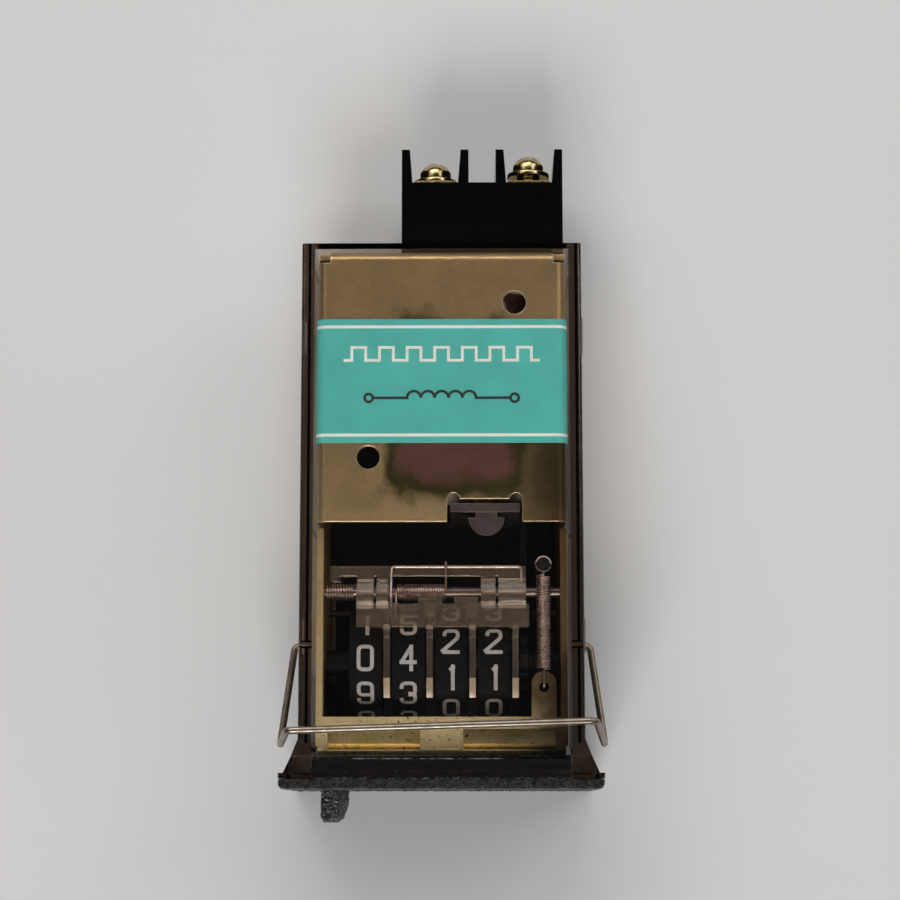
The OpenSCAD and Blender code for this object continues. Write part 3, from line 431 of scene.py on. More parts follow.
def gold_sheet():
    """Yellow passivated steel with rose and green casts, bright worn cut edges, painted light and shade."""
    tone = colours()
    made = Finish("gold_sheet", Metallic=0.92)
    ramp = made.ramp
    x, y = made.wander()
    z = made.axis("Z")
    # Painted light: brighter gold towards the front and on the front strip; the specks also keep to the front
    front = ramp(y, *Casts.front_y)
    plain = made.mix(front, made.mix(ramp(y, *Casts.pale_y), tone.gold, tone.pale_gold), tone.front_gold)
    # Painted shade: olive and brown darkening towards the right
    right_painted_shade = made.mix(ramp(y, *Casts.brown_y), tone.olive, tone.brown)
    shaded = made.mix(made.both(ramp(x, *Casts.dull_x), ramp(y, *Casts.dull_y)), plain, right_painted_shade)
    sides = [ramp(x, *span) for span in Casts.stain_x] + [ramp(y, *span) for span in Casts.stain_y]
    stain = made.both(*sides)
    green = made.mix(cut(made.tree, stain, 0.08, 0.35), shaded, tone.green)
    rose = made.mix(cut(made.tree, stain, 0.5, 0.8), green, tone.rose)
    clouded = made.darken(made.cloud(260.0, 0.4, 0.8, 4.0), rose, 0.82)
    mottled = made.darken(made.cloud(2600.0, 0.3, 0.8, 3.0), clouded, 0.8)
    specked = made.mix(made.both(made.cloud(1500.0, 0.64, 0.7, 2.0), front), mottled, tone.speck)
    # Worn edges, brightened also as a painted highlight
    rubbed = made.mix(made.edge(600.0, 0.9), specked, tone.rubbed)
    # Painted shade: the front right corner, darkened to a third
    corner = made.darken(made.both(ramp(x, *Casts.corner_x), ramp(y, *Casts.corner_y)), rubbed, 0.32)
    # Painted shade: low inside, towards the front, darkened to an eighth
    inside = made.darken(made.both(ramp(z, *Casts.inside_z), ramp(y, *Casts.inside_y)), corner, 0.12)
    # Painted shade: a dark band low on the sheet towards the rear
    floor = made.both(*(ramp(z, *span) for span in Casts.floor_z), ramp(y, *Casts.floor_y))
    made.set("Base Color", made.darken(floor, inside, 0.06))
    made.rough(0.38, 0.46, 240.0, 0.3, 0.7, 5.0)
    made.relief(*SHEET_GRAIN)
    return made.material


def mask_gold():
    """Bright yellow passivation with green clouds, painted shade to the right and low inside."""
    tone = colours()
    made = Finish("mask_gold", Metallic=0.85)
    x, _ = made.wander()
    clouds = made.mix(made.cloud(330.0, 0.35, 0.65, 4.0), tone.mask_yellow, tone.mask_green)
    # Painted shade: the mask is darkened to half towards the right
    shaded = made.darken(made.ramp(x, *Casts.mask_x), clouds, 0.5)
    specked = made.mix(made.cloud(1500.0, 0.62, 0.68, 2.0), shaded, tone.speck)
    # Painted shade: darkened low inside
    made.set("Base Color", made.darken(made.ramp(made.axis("Z"), *Casts.inside_z), specked, 0.12))
    made.rough(0.34, 0.46, 500.0, 0.3, 0.7, 4.0)
    made.relief(*SHEET_GRAIN)
    return made.material


def label_foil():
    """Teal printed foil with two white rules along its ends."""
    tone = colours()
    size = sizes()
    low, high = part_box("label")
    made = Finish("label_foil", Coat_Weight=0.15, Coat_Roughness=0.3)
    along = made.axis("Y")
    ruled = made.mottle(tone.teal, 0.88, 230.0, 0.35, 0.7, 5.0)
    for place in (low.y + size.rule_inset, high.y - size.rule_inset):
        rule = along
        for operation, number in (("SUBTRACT", place), ("ABSOLUTE", 0), ("LESS_THAN", size.rule_width / 2)):
            rule = made.put("ShaderNodeMath", {"operation": operation}, i0=rule, i1=number).outputs[0]
        ruled = made.mix(rule, ruled, tone.white_ink)
    made.set("Base Color", made.mix(made.edge(900.0, 0.5), ruled, tone.teal_edge))
    made.rough(0.38, 0.55, 600.0, 0.3, 0.7)
    made.relief(900.0, 0.01 * MM)
    return made.material


def metal(name, base, dark, rough, scale=700.0, depth=0.008 * MM):
    """Plain metal with darker stains, worn edges and fine scratches."""
    made = Finish(name, Metallic=1.0)
    stained = made.mix(made.cloud(scale, 0.45, 0.75, 5.0), base, dark)
    made.set("Base Color", made.mix(made.edge(800.0, 0.6), stained, shade(base, 1.25)))
    made.rough(rough, rough + 0.18, scale * 2, 0.3, 0.7)
    made.relief(scale * 5, depth)
    return made.material


def plastic(name, base, other, rough, spread=0.2, scale=500.0, dusty=0.15, gloss=0.5, depth=0.008 * MM):
    """Moulded plastic with slight changes of tone, worn edges and dust."""
    made = Finish(name, Specular_IOR_Level=gloss)
    mottled = made.mix(made.cloud(scale, 0.35, 0.7, 4.0), base, other)
    worn = made.mix(made.edge(900.0, 0.35), mottled, shade(other, 1.6, 0.01))
    made.set("Base Color", made.mix(made.dust(1500.0, dusty), worn, colours().grey_dust))
    made.rough(rough, rough + spread, scale * 3, 0.3, 0.7)
    made.relief(scale * 6, depth)
    return made.material


def winding_tape():
    """Fine turns of enamelled wire under a clear tape."""
    made = Finish("winding_tape", Coat_Weight=0.5)
    bands = {"wave_type": "BANDS", "bands_direction": "Y"}
    wave = made.put("ShaderNodeTexWave", bands, Vector=made.place, Scale=1300.0, Distortion=0.6)
    turns = wave.outputs["Fac"]
    # The enamel colours are dark, partly as painted shade under the yoke
    made.set("Base Color", made.mix(turns, (0.085, 0.025, 0.012), (0.20, 0.07, 0.035)))
    made.rough(0.3, 0.5, 900.0)
    made.set("Normal", made.put("ShaderNodeBump", Distance=0.03 * MM, Height=turns).outputs["Normal"])
    return made.material


def paint(name, tone, share, patches, rough, lift=0.0, **sockets):
    """A plain finish in one of the colours, with darker patches."""
    made = Finish(name, **sockets)
    made.set("Base Color", made.mottle(getattr(colours(), tone), share, *patches, lift=lift))
    made.rough(*rough)
    return made.material


LEATHERS = {
    "black_grain": dict(gloss=0.26, dark=(0.006, 0.0055, 0.005), light=(0.014, 0.0125, 0.0115)),
    # The key has the bezel's grain, painted lighter as painted light on the key
    "key_grain": dict(gloss=0.8, dark=(0.02, 0.018, 0.018), light=(0.07, 0.064, 0.064)),
}
METALS = {
    "wire": dict(base=(0.30, 0.255, 0.2), dark=(0.17, 0.135, 0.1), rough=0.28),
    "iron": dict(base=(0.165, 0.134, 0.13), dark=(0.11, 0.086, 0.082), rough=0.3),
    "spring_wire": dict(base=(0.52, 0.395, 0.35), dark=(0.30, 0.22, 0.185), rough=0.22),
    "copper": dict(base=(0.55, 0.25, 0.12), dark=(0.3, 0.12, 0.06), rough=0.3),
    "nickel": dict(base=(0.50, 0.385, 0.19), dark=(0.27, 0.19, 0.085), rough=0.14),
}
PLASTICS = {
    "cream_nylon": dict(base=(0.62, 0.58, 0.49), other=(0.5, 0.46, 0.38), rough=0.4),
    "black_nylon": dict(base=BLACK, other=SOFT_BLACK, rough=0.45, dusty=0.01, gloss=0.2),
    "wheel_black": dict(base=BLUE_BLACK, other=SOFT_BLACK, rough=0.5, dusty=0.006, gloss=0.08),
    "black_gloss": dict(
        base=BLACK, other=CLEAN_BLACK, rough=0.09, spread=0.03, scale=300.0, dusty=0.001, gloss=0.15,
        depth=0.001 * MM,
    ),
}
INK = dict(share=0.8, lift=0.01, patches=(1200.0, 0.45, 0.8, 4.0), rough=(0.45, 0.6, 700.0))
PAINTS = {
    "finger_facet": dict(
        tone="tan", share=0.78, patches=(900.0,), rough=(0.3, 0.5, 1500.0), IOR=NYLON_IOR, Coat_Weight=0.3
    ),
    "numeral_ink": dict(
        tone="numeral", share=0.55, patches=(1500.0, 0.5, 0.8, 5.0), rough=(0.5, 0.7, 900.0)
    ),
    "white_ink": dict(tone="white_ink", **INK),
    "black_ink": dict(tone="black_ink", **INK),
    "floor_paint": dict(
        tone="floor", share=0.97, patches=(9.0, 0.3, 0.7, 4.0), rough=(0.6, 0.75, 60.0),
        Specular_IOR_Level=0.25,
    ),
}
SINGLE = (clear_smoke, clear_pane, clear_nylon, gold_sheet, mask_gold, label_foil, winding_tape)
FINISHES = {make.__name__: make for make in SINGLE}
for make, table in ((leather_grain, LEATHERS), (metal, METALS), (plastic, PLASTICS), (paint, PAINTS)):
    FINISHES.update({name: partial(make, name, **values) for name, values in table.items()})


def finish(name):
    """The material of that name, made the first time it is asked for."""
    return bpy.data.materials.get(f"{name}_finish") or FINISHES[name]()


# Making pieces


def add_piece(bm, name, look, body, slot, nodes=(), smooth=35.0):
    """Turns a bmesh into a piece, which stands for CAD nodes and rides on a body where these are given."""
    mesh = bpy.data.meshes.new(name)
    bm.to_mesh(mesh)
    bm.free()
    mesh.materials.append(finish(look))
    mesh.shade_smooth()
    mesh.set_sharp_from_angle(angle=math.radians(smooth))
    piece = bpy.data.objects.new(name, mesh)
    bpy.context.scene.collection.objects.link(piece)
    if nodes:
        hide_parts(*nodes)
    if body:
        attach(piece, body)
    return piece


def merged_copy(node):
    """A closed copy of a CAD node's mesh, with flat areas as single faces."""
    bm = bmesh.new()
    bm.from_mesh(frame["nodes"][node].data)
    bmesh.ops.remove_doubles(bm, verts=bm.verts, dist=0.001 * MM)
    bmesh.ops.dissolve_limit(bm, angle_limit=math.radians(0.4), verts=bm.verts, edges=bm.edges)
    return bm


def round_edges(bm, width, segments=2, corner=28.0):
    """Rounds the edges sharper than the corner angle and marks them, so that a finish can rub them."""
    mark = bm.faces.layers.float.new("edge")
    sharp = [e for e in bm.edges if e.is_manifold and e.calc_face_angle() > math.radians(corner)]
    made = bmesh.ops.bevel(
        bm, geom=sharp, offset=width, offset_type="OFFSET", segments=segments, profile=0.5, affect="EDGES",
        clamp_overlap=True, material=-1,
    )
    for face in made["faces"]:
        face[mark] = 1.0


def dress(node, edge, segments=2, look=None):
    """A CAD node with its edges rounded and the finish of its slot, or another look."""
    bm = merged_copy(node)
    round_edges(bm, edge, segments)
    slot = SLOT_OF[node]
    piece = add_piece(bm, f"{node}_finished", look or slot, BODY_OF[node], slot, [node], 40.0)
    weights = piece.modifiers.new("flat_sides", "WEIGHTED_NORMAL")
    weights.keep_sharp = True
    return piece


class Pen:
    """Draws a piece by moving a profile straight ahead and round bends."""

    def __init__(self, bm, profile, start, heading):
        self.bm = bm
        self.profile = profile
        self.place = Vector(start)
        self.heading = Vector(heading).normalized()

    def ahead(self, length, steps=1):
        """Goes straight for that length."""
        for _ in range(steps):
            made = bmesh.ops.extrude_edge_only(self.bm, edges=self.profile)["geom"]
            ends = {g for g in made if isinstance(g, bmesh.types.BMVert)}
            bmesh.ops.translate(self.bm, verts=list(ends), vec=self.heading * length / steps)
            self.profile = [g for g in made if isinstance(g, bmesh.types.BMEdge) and set(g.verts) <= ends]
        self.place = self.place + self.heading * length

    def bend(self, axis, degrees, radius, steps, rise=0.0):
        """Turns about an axis, at that radius, and climbs along the axis by the rise."""
        axis = Vector(axis).normalized()
        centre = self.place + axis.cross(self.heading) * radius * math.copysign(1, degrees)
        ends = list({v for e in self.profile for v in e.verts})
        made = bmesh.ops.spin(
            self.bm, geom=ends + self.profile, cent=centre, axis=axis, angle=math.radians(degrees),
            dvec=axis * rise / steps, steps=steps, use_merge=False, use_normal_flip=False,
            use_duplicate=False,
        )
        self.profile = [g for g in made["geom_last"] if isinstance(g, bmesh.types.BMEdge)]
        turn = Matrix.Rotation(math.radians(degrees), 3, axis)
        self.place = centre + turn @ (self.place - centre) + axis * rise
        self.heading = turn @ self.heading


def wire_pen(start, heading, diameter, sides=10):
    """A pen that draws a round wire in a bmesh of its own."""
    bm = bmesh.new()
    turn = Z_AXIS.rotation_difference(Vector(heading).normalized()).to_matrix().to_4x4()
    bmesh.ops.create_circle(bm, segments=sides, radius=diameter / 2, matrix=Matrix.Translation(start) @ turn)
    return Pen(bm, bm.edges[:], start, heading)


def wire_along(points, diameter, radius=0.0, sides=12, steps=8):
    """A closed round wire through points, with its corners bent to a radius."""
    points = [Vector(p) for p in points]
    pen = wire_pen(points[0], points[1] - points[0], diameter, sides)
    for here, corner, ahead in zip(points, points[1:], points[2:]):
        incoming = (corner - here).normalized()
        outgoing = (ahead - corner).normalized()
        angle = incoming.angle(outgoing)
        pen.ahead((corner - pen.place).dot(incoming) - radius * math.tan(angle / 2))
        pen.bend(incoming.cross(outgoing), math.degrees(angle), radius, steps)
    pen.ahead((points[-1] - pen.place).length)
    return close_wire(pen)


def close_wire(pen):
    """Caps the ends of a drawn wire and turns its faces outwards."""
    open_edges = [e for e in pen.bm.edges if e.is_boundary]
    bmesh.ops.holes_fill(pen.bm, edges=open_edges, sides=0)
    bmesh.ops.recalc_face_normals(pen.bm, faces=pen.bm.faces)
    return pen.bm


def joined(first, *others):
    """The first bmesh with the meshes of the others added to it."""
    for other in others:
        mesh = bpy.data.meshes.new("part")
        other.to_mesh(mesh)
        other.free()
        first.from_mesh(mesh)
        bpy.data.meshes.remove(mesh)
    return first


def add_spring(node, body, bm):
    """A piece of spring wire that stands for a CAD node; body is None for a piece that rides on no body."""
    return add_piece(bm, f"{node}_finished", "spring_wire", body, "spring_wire", [node])


def draw_stroke(bm, width, start, degrees, moves, lift=0.0, finest=2 * MM):
    """Draws a flat stroke. A move is a length to go, or a pair of degrees to turn and a radius."""
    angle = math.radians(degrees)
    heading = Vector((math.cos(angle), math.sin(angle), 0))
    side = Z_AXIS.cross(heading) * width / 2
    at = Vector((start[0], start[1], lift))
    edge = bm.edges.new((bm.verts.new(at - side), bm.verts.new(at + side)))
    pen = Pen(bm, [edge], at, heading)
    for move in moves:
        if isinstance(move, tuple):
            pen.bend(Z_AXIS, *move, max(4, math.ceil(abs(move[0]) / 15)))
        elif move > 0:
            pen.ahead(move, max(1, math.ceil(move / finest)))


def add_print(bm, name, look, body, slot, smooth=35.0):
    """A piece made of flat strokes, which get the thickness of ink."""
    bmesh.ops.solidify(bm, geom=bm.faces, thickness=sizes().ink_height)
    bmesh.ops.recalc_face_normals(bm, faces=bm.faces)
    add_piece(bm, name, look, body, slot, smooth=smooth)


# Pieces


class COUNTER_OT_clear_case(bpy.types.Operator):
    """Finish the clear smoke case and the display pane"""

    bl_idname = "counter.clear_case"
    bl_label = "Clear case"

    def execute(self, context):
        dress("case", sizes().case_edge, 3)
        dress("display_window", sizes().turned_edge)
        return {"FINISHED"}


class COUNTER_OT_grained_front(bpy.types.Operator):
    """Finish the black bezel and the reset key with a leather grain"""

    bl_idname = "counter.grained_front"
    bl_label = "Grained front"

    # How far back the grain goes from the front of the bezel
    grained_depth = 2 * MM
    softening = 4
    # The finer lumps, against the coarse ones, and the level that most lumps stay under
    fine_share = 0.5
    fine_ratio = 2.3
    lump_level = 0.55

    def execute(self, context):
        size = sizes()
        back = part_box("bezel")[0].y + self.grained_depth - size.grain_height
        # The reset key gets the lighter copy of the grain, which is painted light
        for node, look in (("bezel", "black_grain"), ("reset_key", "key_grain")):
            piece = self.remeshed(node, look, size)
            self.grain(piece.data, back, size)
            self.smooth_inside(piece.data, back)
        return {"FINISHED"}

    def remeshed(self, node, look, size):
        """The node as an even mesh, fine enough to carry the grain."""
        bm = merged_copy(node)
        piece = add_piece(bm, f"{node}_finished", look, BODY_OF[node], SLOT_OF[node], [node], 180.0)
        piece.data.remesh_voxel_size = size.grain_cell
        bpy.context.view_layer.objects.active = piece
        piece.select_set(True)
        bpy.ops.object.voxel_remesh()
        piece.select_set(False)
        self.soften(piece.data)
        return piece

    def soften(self, mesh):
        """Rounds the moulded edges."""
        bm = bmesh.new()
        bm.from_mesh(mesh)
        for _ in range(self.softening):
            bmesh.ops.smooth_vert(
                bm, verts=bm.verts, factor=0.5, use_axis_x=True, use_axis_y=True, use_axis_z=True
            )
        bm.to_mesh(mesh)
        bm.free()
        mesh.shade_smooth()

    def grain(self, mesh, back, size):
        """Lifts and lowers the outer faces in lumps; what lies behind back stays flat."""
        normals = [v.normal.copy() for v in mesh.vertices]
        for vertex, normal in zip(mesh.vertices, normals):
            if vertex.co.y > back:
                continue
            place = vertex.co / size.grain_pitch
            lump = noise.noise(place) + self.fine_share * noise.noise(place * self.fine_ratio)
            vertex.co += normal * (lump - self.lump_level) * size.grain_height
        mesh.update()

    def smooth_inside(self, mesh, back):
        """Gives the part behind the grained front a smooth finish."""
        mesh.materials.append(finish("black_nylon"))
        for face in mesh.polygons:
            if face.center.y > back:
                face.material_index = 1


class COUNTER_OT_sheet_frame(bpy.types.Operator):
    """Finish the folded sheet pieces: main frame, display mask and yoke"""

    bl_idname = "counter.sheet_frame"
    bl_label = "Sheet frame"

    def execute(self, context):
        for node in ("main_frame", "yoke"):
            dress(node, sizes().sheet_edge)
        dress("display_mask", sizes().sheet_edge, look="mask_gold")
        return {"FINISHED"}


class COUNTER_OT_label(bpy.types.Operator):
    """Finish the label and print a pulse line and a coil sign on it"""

    bl_idname = "counter.label"
    bl_label = "Label"

    stroke = 0.42 * MM
    # Middle of the pulse line from the rear end of the label, and of the coil sign from the front end
    pulse_inset = 5.4 * MM
    coil_inset = 6.9 * MM
    pulse_step = 2.1 * MM
    pulse_height = 2.0 * MM
    pulse_count = 7
    coil_loops = 5
    loop_radius = 1.05 * MM
    lead = 5.2 * MM
    ring_radius = 0.62 * MM

    def execute(self, context):
        dress("label", sizes().foil_edge)
        low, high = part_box("label")
        self.print_signs("label_pulse_line", "white_ink", self.pulse_line(high.y - self.pulse_inset), high.z)
        self.print_signs("label_coil_sign", "black_ink", self.coil_sign(low.y + self.coil_inset), high.z)
        return {"FINISHED"}

    def line(self, bm, start, end, lift):
        """A straight stroke with its ends carried half a stroke past the two points."""
        way = Vector(end) - Vector(start)
        start = Vector(start) - way.normalized() * self.stroke / 2
        heading = math.degrees(math.atan2(way.y, way.x))
        draw_stroke(bm, self.stroke, start, heading, [way.length + self.stroke], lift)

    def pulse_line(self, y):
        """A square wave, the sign of the pulses that are counted."""
        bm = bmesh.new()
        left = -self.pulse_count * self.pulse_step
        bottom, top = y - self.pulse_height / 2, y + self.pulse_height / 2
        for k in range(self.pulse_count):
            start = left + 2 * k * self.pulse_step
            rise, fall, end = (start + n * self.pulse_step for n in (0.5, 1.5, 2.0))
            foot = [(start, bottom), (rise, bottom)]
            corners = [*foot, (rise, top), (fall, top), (fall, bottom), (end, bottom)]
            for n, (a, b) in enumerate(zip(corners, corners[1:])):
                self.line(bm, a, b, (n % 2 + 2 * (k % 2)) * STROKE_STEP)
        return bm

    def coil_sign(self, y):
        """A row of loops between two leads that end in rings, the sign of a coil and its terminals."""
        bm = bmesh.new()
        half = self.coil_loops * self.loop_radius
        for k in range(self.coil_loops):
            start = (2 * k * self.loop_radius - half, y)
            draw_stroke(bm, self.stroke, start, 90, [(-180, self.loop_radius)], k % 2 * STROKE_STEP)
        for side in (-1, 1):
            outer = side * (half + self.lead)
            self.line(bm, (side * half, y), (outer, y), 2 * STROKE_STEP)
            ring = (outer + side * 2 * self.ring_radius, y)
            draw_stroke(bm, self.stroke, ring, 90, [(360, self.ring_radius * side)])
        return bm

    def print_signs(self, name, look, bm, top):
        """Lays flat strokes on the top of the label."""
        bmesh.ops.translate(bm, verts=bm.verts, vec=(0, 0, top + INK_LIFT))
        add_print(bm, name, look, "housing", "label_foil")


class COUNTER_OT_magnet(bpy.types.Operator):
    """Finish the coil, its core, the armature and the drive lever"""

    bl_idname = "counter.magnet"
    bl_label = "Magnet"

    def execute(self, context):
        size = sizes()
        for node in ("core", "armature", "coil_leads", "winding"):
            dress(node, size.turned_edge)
        for node in ("bobbin", "drive_lever"):
            dress(node, size.moulded_edge)
        return {"FINISHED"}


class COUNTER_OT_number_wheels(bpy.types.Operator):
    """Finish the number wheels with their numerals, the ratchet wheel, the pinions and the shafts"""

    bl_idname = "counter.number_wheels"
    bl_label = "Number wheels"

    # Numeral at the top of each wheel and how far it lies in front of the highest line, in degrees
    shown = ((0, -1.4), (4, -1.4), (2, -18.0), (2, -18.0))
    step = 36.0
    # Width of the cam beside the rim, which is part of the wheel
    cam_width = 1.3 * MM
    # Longest straight step of a stroke, short enough to follow the rim
    finest = 0.3 * MM

    def execute(self, context):
        size = sizes()
        for k in range(1, 5):
            dress(f"number_wheel_{k}", size.turned_edge)
            self.numerals(k, size)
        for k in range(1, 4):
            dress(f"carry_pinion_{k}", size.turned_edge)
        for node in ("ratchet_wheel", "wheel_shaft", "wheel_spacers", "pinion_shaft"):
            dress(node, size.turned_edge)
        return {"FINISHED"}

    def numerals(self, k, size):
        """Ten numerals round the rim of wheel k."""
        low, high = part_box(f"number_wheel_{k}")
        axis = Vector(JOINTS[f"wheel_{k}_spin"]["pos_m"])
        radius = (high.z - low.z) / 2
        rim = Vector((low.x + self.rim_width() / 2, axis.y, axis.z))
        top, lean = self.shown[k - 1]
        bm = bmesh.new()
        for digit, lines in enumerate(self.digits(size)):
            first = len(bm.verts)
            for n, (start, heading, moves) in enumerate(lines):
                draw_stroke(bm, size.numeral_stroke, start, heading, moves, n * STROKE_STEP, self.finest)
            bm.verts.ensure_lookup_table()
            angle = math.radians(lean - self.step * (digit - top))
            self.wrap(bm.verts[first:], rim, radius, angle)
        add_print(bm, f"numerals_{k}", "numeral_ink", f"wheel_{k}", "wheel_black", 60.0)

    def rim_width(self):
        """Width of the rim of a wheel, without its cam."""
        low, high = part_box("number_wheel_1")
        return high.x - low.x - self.cam_width

    def wrap(self, verts, rim, radius, angle):
        """Lays flat points on the rim, with the top of the numeral towards the rear."""
        for vertex in verts:
            turn = angle - vertex.co.y / radius
            out = radius + vertex.co.z + INK_LIFT
            vertex.co = rim + Vector((vertex.co.x, -out * math.sin(turn), out * math.cos(turn)))

    def digits(self, size):
        """The strokes of the numerals 0 to 9, each about its middle: start, heading and moves."""
        stroke = size.numeral_stroke
        w = (size.numeral_width - stroke) / 2
        h = (size.numeral_height - stroke) / 2
        r = size.numeral_bend
        s = stroke / 2
        left, right = (90, r), (-90, r)
        over, along, bowl = 2 * (w - r), 2 * (h - r), h - 2 * r
        across, down = 2 * (w + s), 2 * (h + s)
        waist = 0.12 * h
        one_x, four_x, bar_y = 0.25 * w, 0.45 * w, -0.38 * h
        slope_four = Vector((four_x + w, h - bar_y))
        slope_seven = Vector((1.3 * w, 2 * h))
        loop = [w - r, left, bowl, left, over, left, bowl, left, w - r]
        hook = [s, left, over, left, along, left, over, left, bowl + waist, left, 2 * w - r]
        crown = [s, right, over, right]

        def back(slope):
            return 180 + math.degrees(math.atan2(slope.y, slope.x))

        return [
            [((w, 0), 90, [h - r, left, over, left, along, left, over, left, h - r])],
            [((one_x, -h - s), 90, [down]), ((one_x + s, h), 215, [w * 0.95])],
            [
                ((-w, h - r - s), 90, [*crown, 0.25 * r, (-48, 1.5 * r), 2.05 * h - r]),
                ((-w - s, -h), 0, [across]),
            ],
            [
                ((-w, h - r - s), 90, [*crown, bowl + waist, right, w - r]),
                ((0, waist - 0.1 * h), 0, [w - r, right, bowl, right, over, right, s]),
            ],
            [
                ((four_x, -h - s), 90, [down]),
                ((four_x, h), back(slope_four), [slope_four.length]),
                ((-w - s, bar_y), 0, [across]),
            ],
            [
                ((w + s, h), 180, [across]),
                ((-w, h), 270, [h - waist + s]),
                ((-w, waist), 0, [2 * w - r, right, bowl + waist, right, over, right, s]),
            ],
            [((w, h - r - s), 90, hook)],
            [((-w - s, h), 0, [2 * w + s]), ((w, h + s), back(slope_seven), [slope_seven.length + s])],
            [((0, h), 180, loop), ((0, -h), 0, loop)],
            [((-w, -h + r + s), 270, hook)],
        ]


class COUNTER_OT_reset_comb(bpy.types.Operator):
    """Finish the clear reset comb, its shaft, its wire and the reset slide"""

    bl_idname = "counter.reset_comb"
    bl_label = "Reset comb"

    facet_length = 3.2 * MM
    # A facet of a finger tip faces up and forwards by at least these parts of its normal
    facet_up = 0.3
    facet_forwards = 0.05
    staple_wire = 0.45 * MM
    staple_bend = 0.6 * MM
    front_leg = 1.9 * MM
    rear_leg = 2.3 * MM
    rear_leg_rise = 0.3 * MM

    def execute(self, context):
        size = sizes()
        comb = dress("reset_comb", size.turned_edge)
        self.bright_facets(comb.data)
        dress("comb_shaft", size.turned_edge)
        dress("reset_slide", size.moulded_edge)
        self.staple()
        return {"FINISHED"}

    def bright_facets(self, mesh):
        """Gives the sloped ends of the fingers their own finish."""
        mesh.materials.append(finish("finger_facet"))
        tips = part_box("reset_comb")[0].y + self.facet_length
        for face in mesh.polygons:
            sloped = face.normal.z > self.facet_up and face.normal.y < -self.facet_forwards
            if face.center.y < tips and sloped:
                face.material_index = 1

    def staple(self):
        """The wire staple over the comb, as a smooth bent wire."""
        low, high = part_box("comb_wire")
        inset = self.staple_wire / 2
        left, right = low.x + inset, high.x - inset
        rear, top, bar = high.y - inset, high.z - inset, low.z + inset
        points = [
            (left, low.y, top),
            (left, low.y + self.front_leg, top),
            (left, rear, bar),
            (right, rear, bar),
            (right, rear - self.rear_leg, bar + self.rear_leg_rise),
        ]
        add_spring("comb_wire", "comb", wire_along(points, self.staple_wire, self.staple_bend))


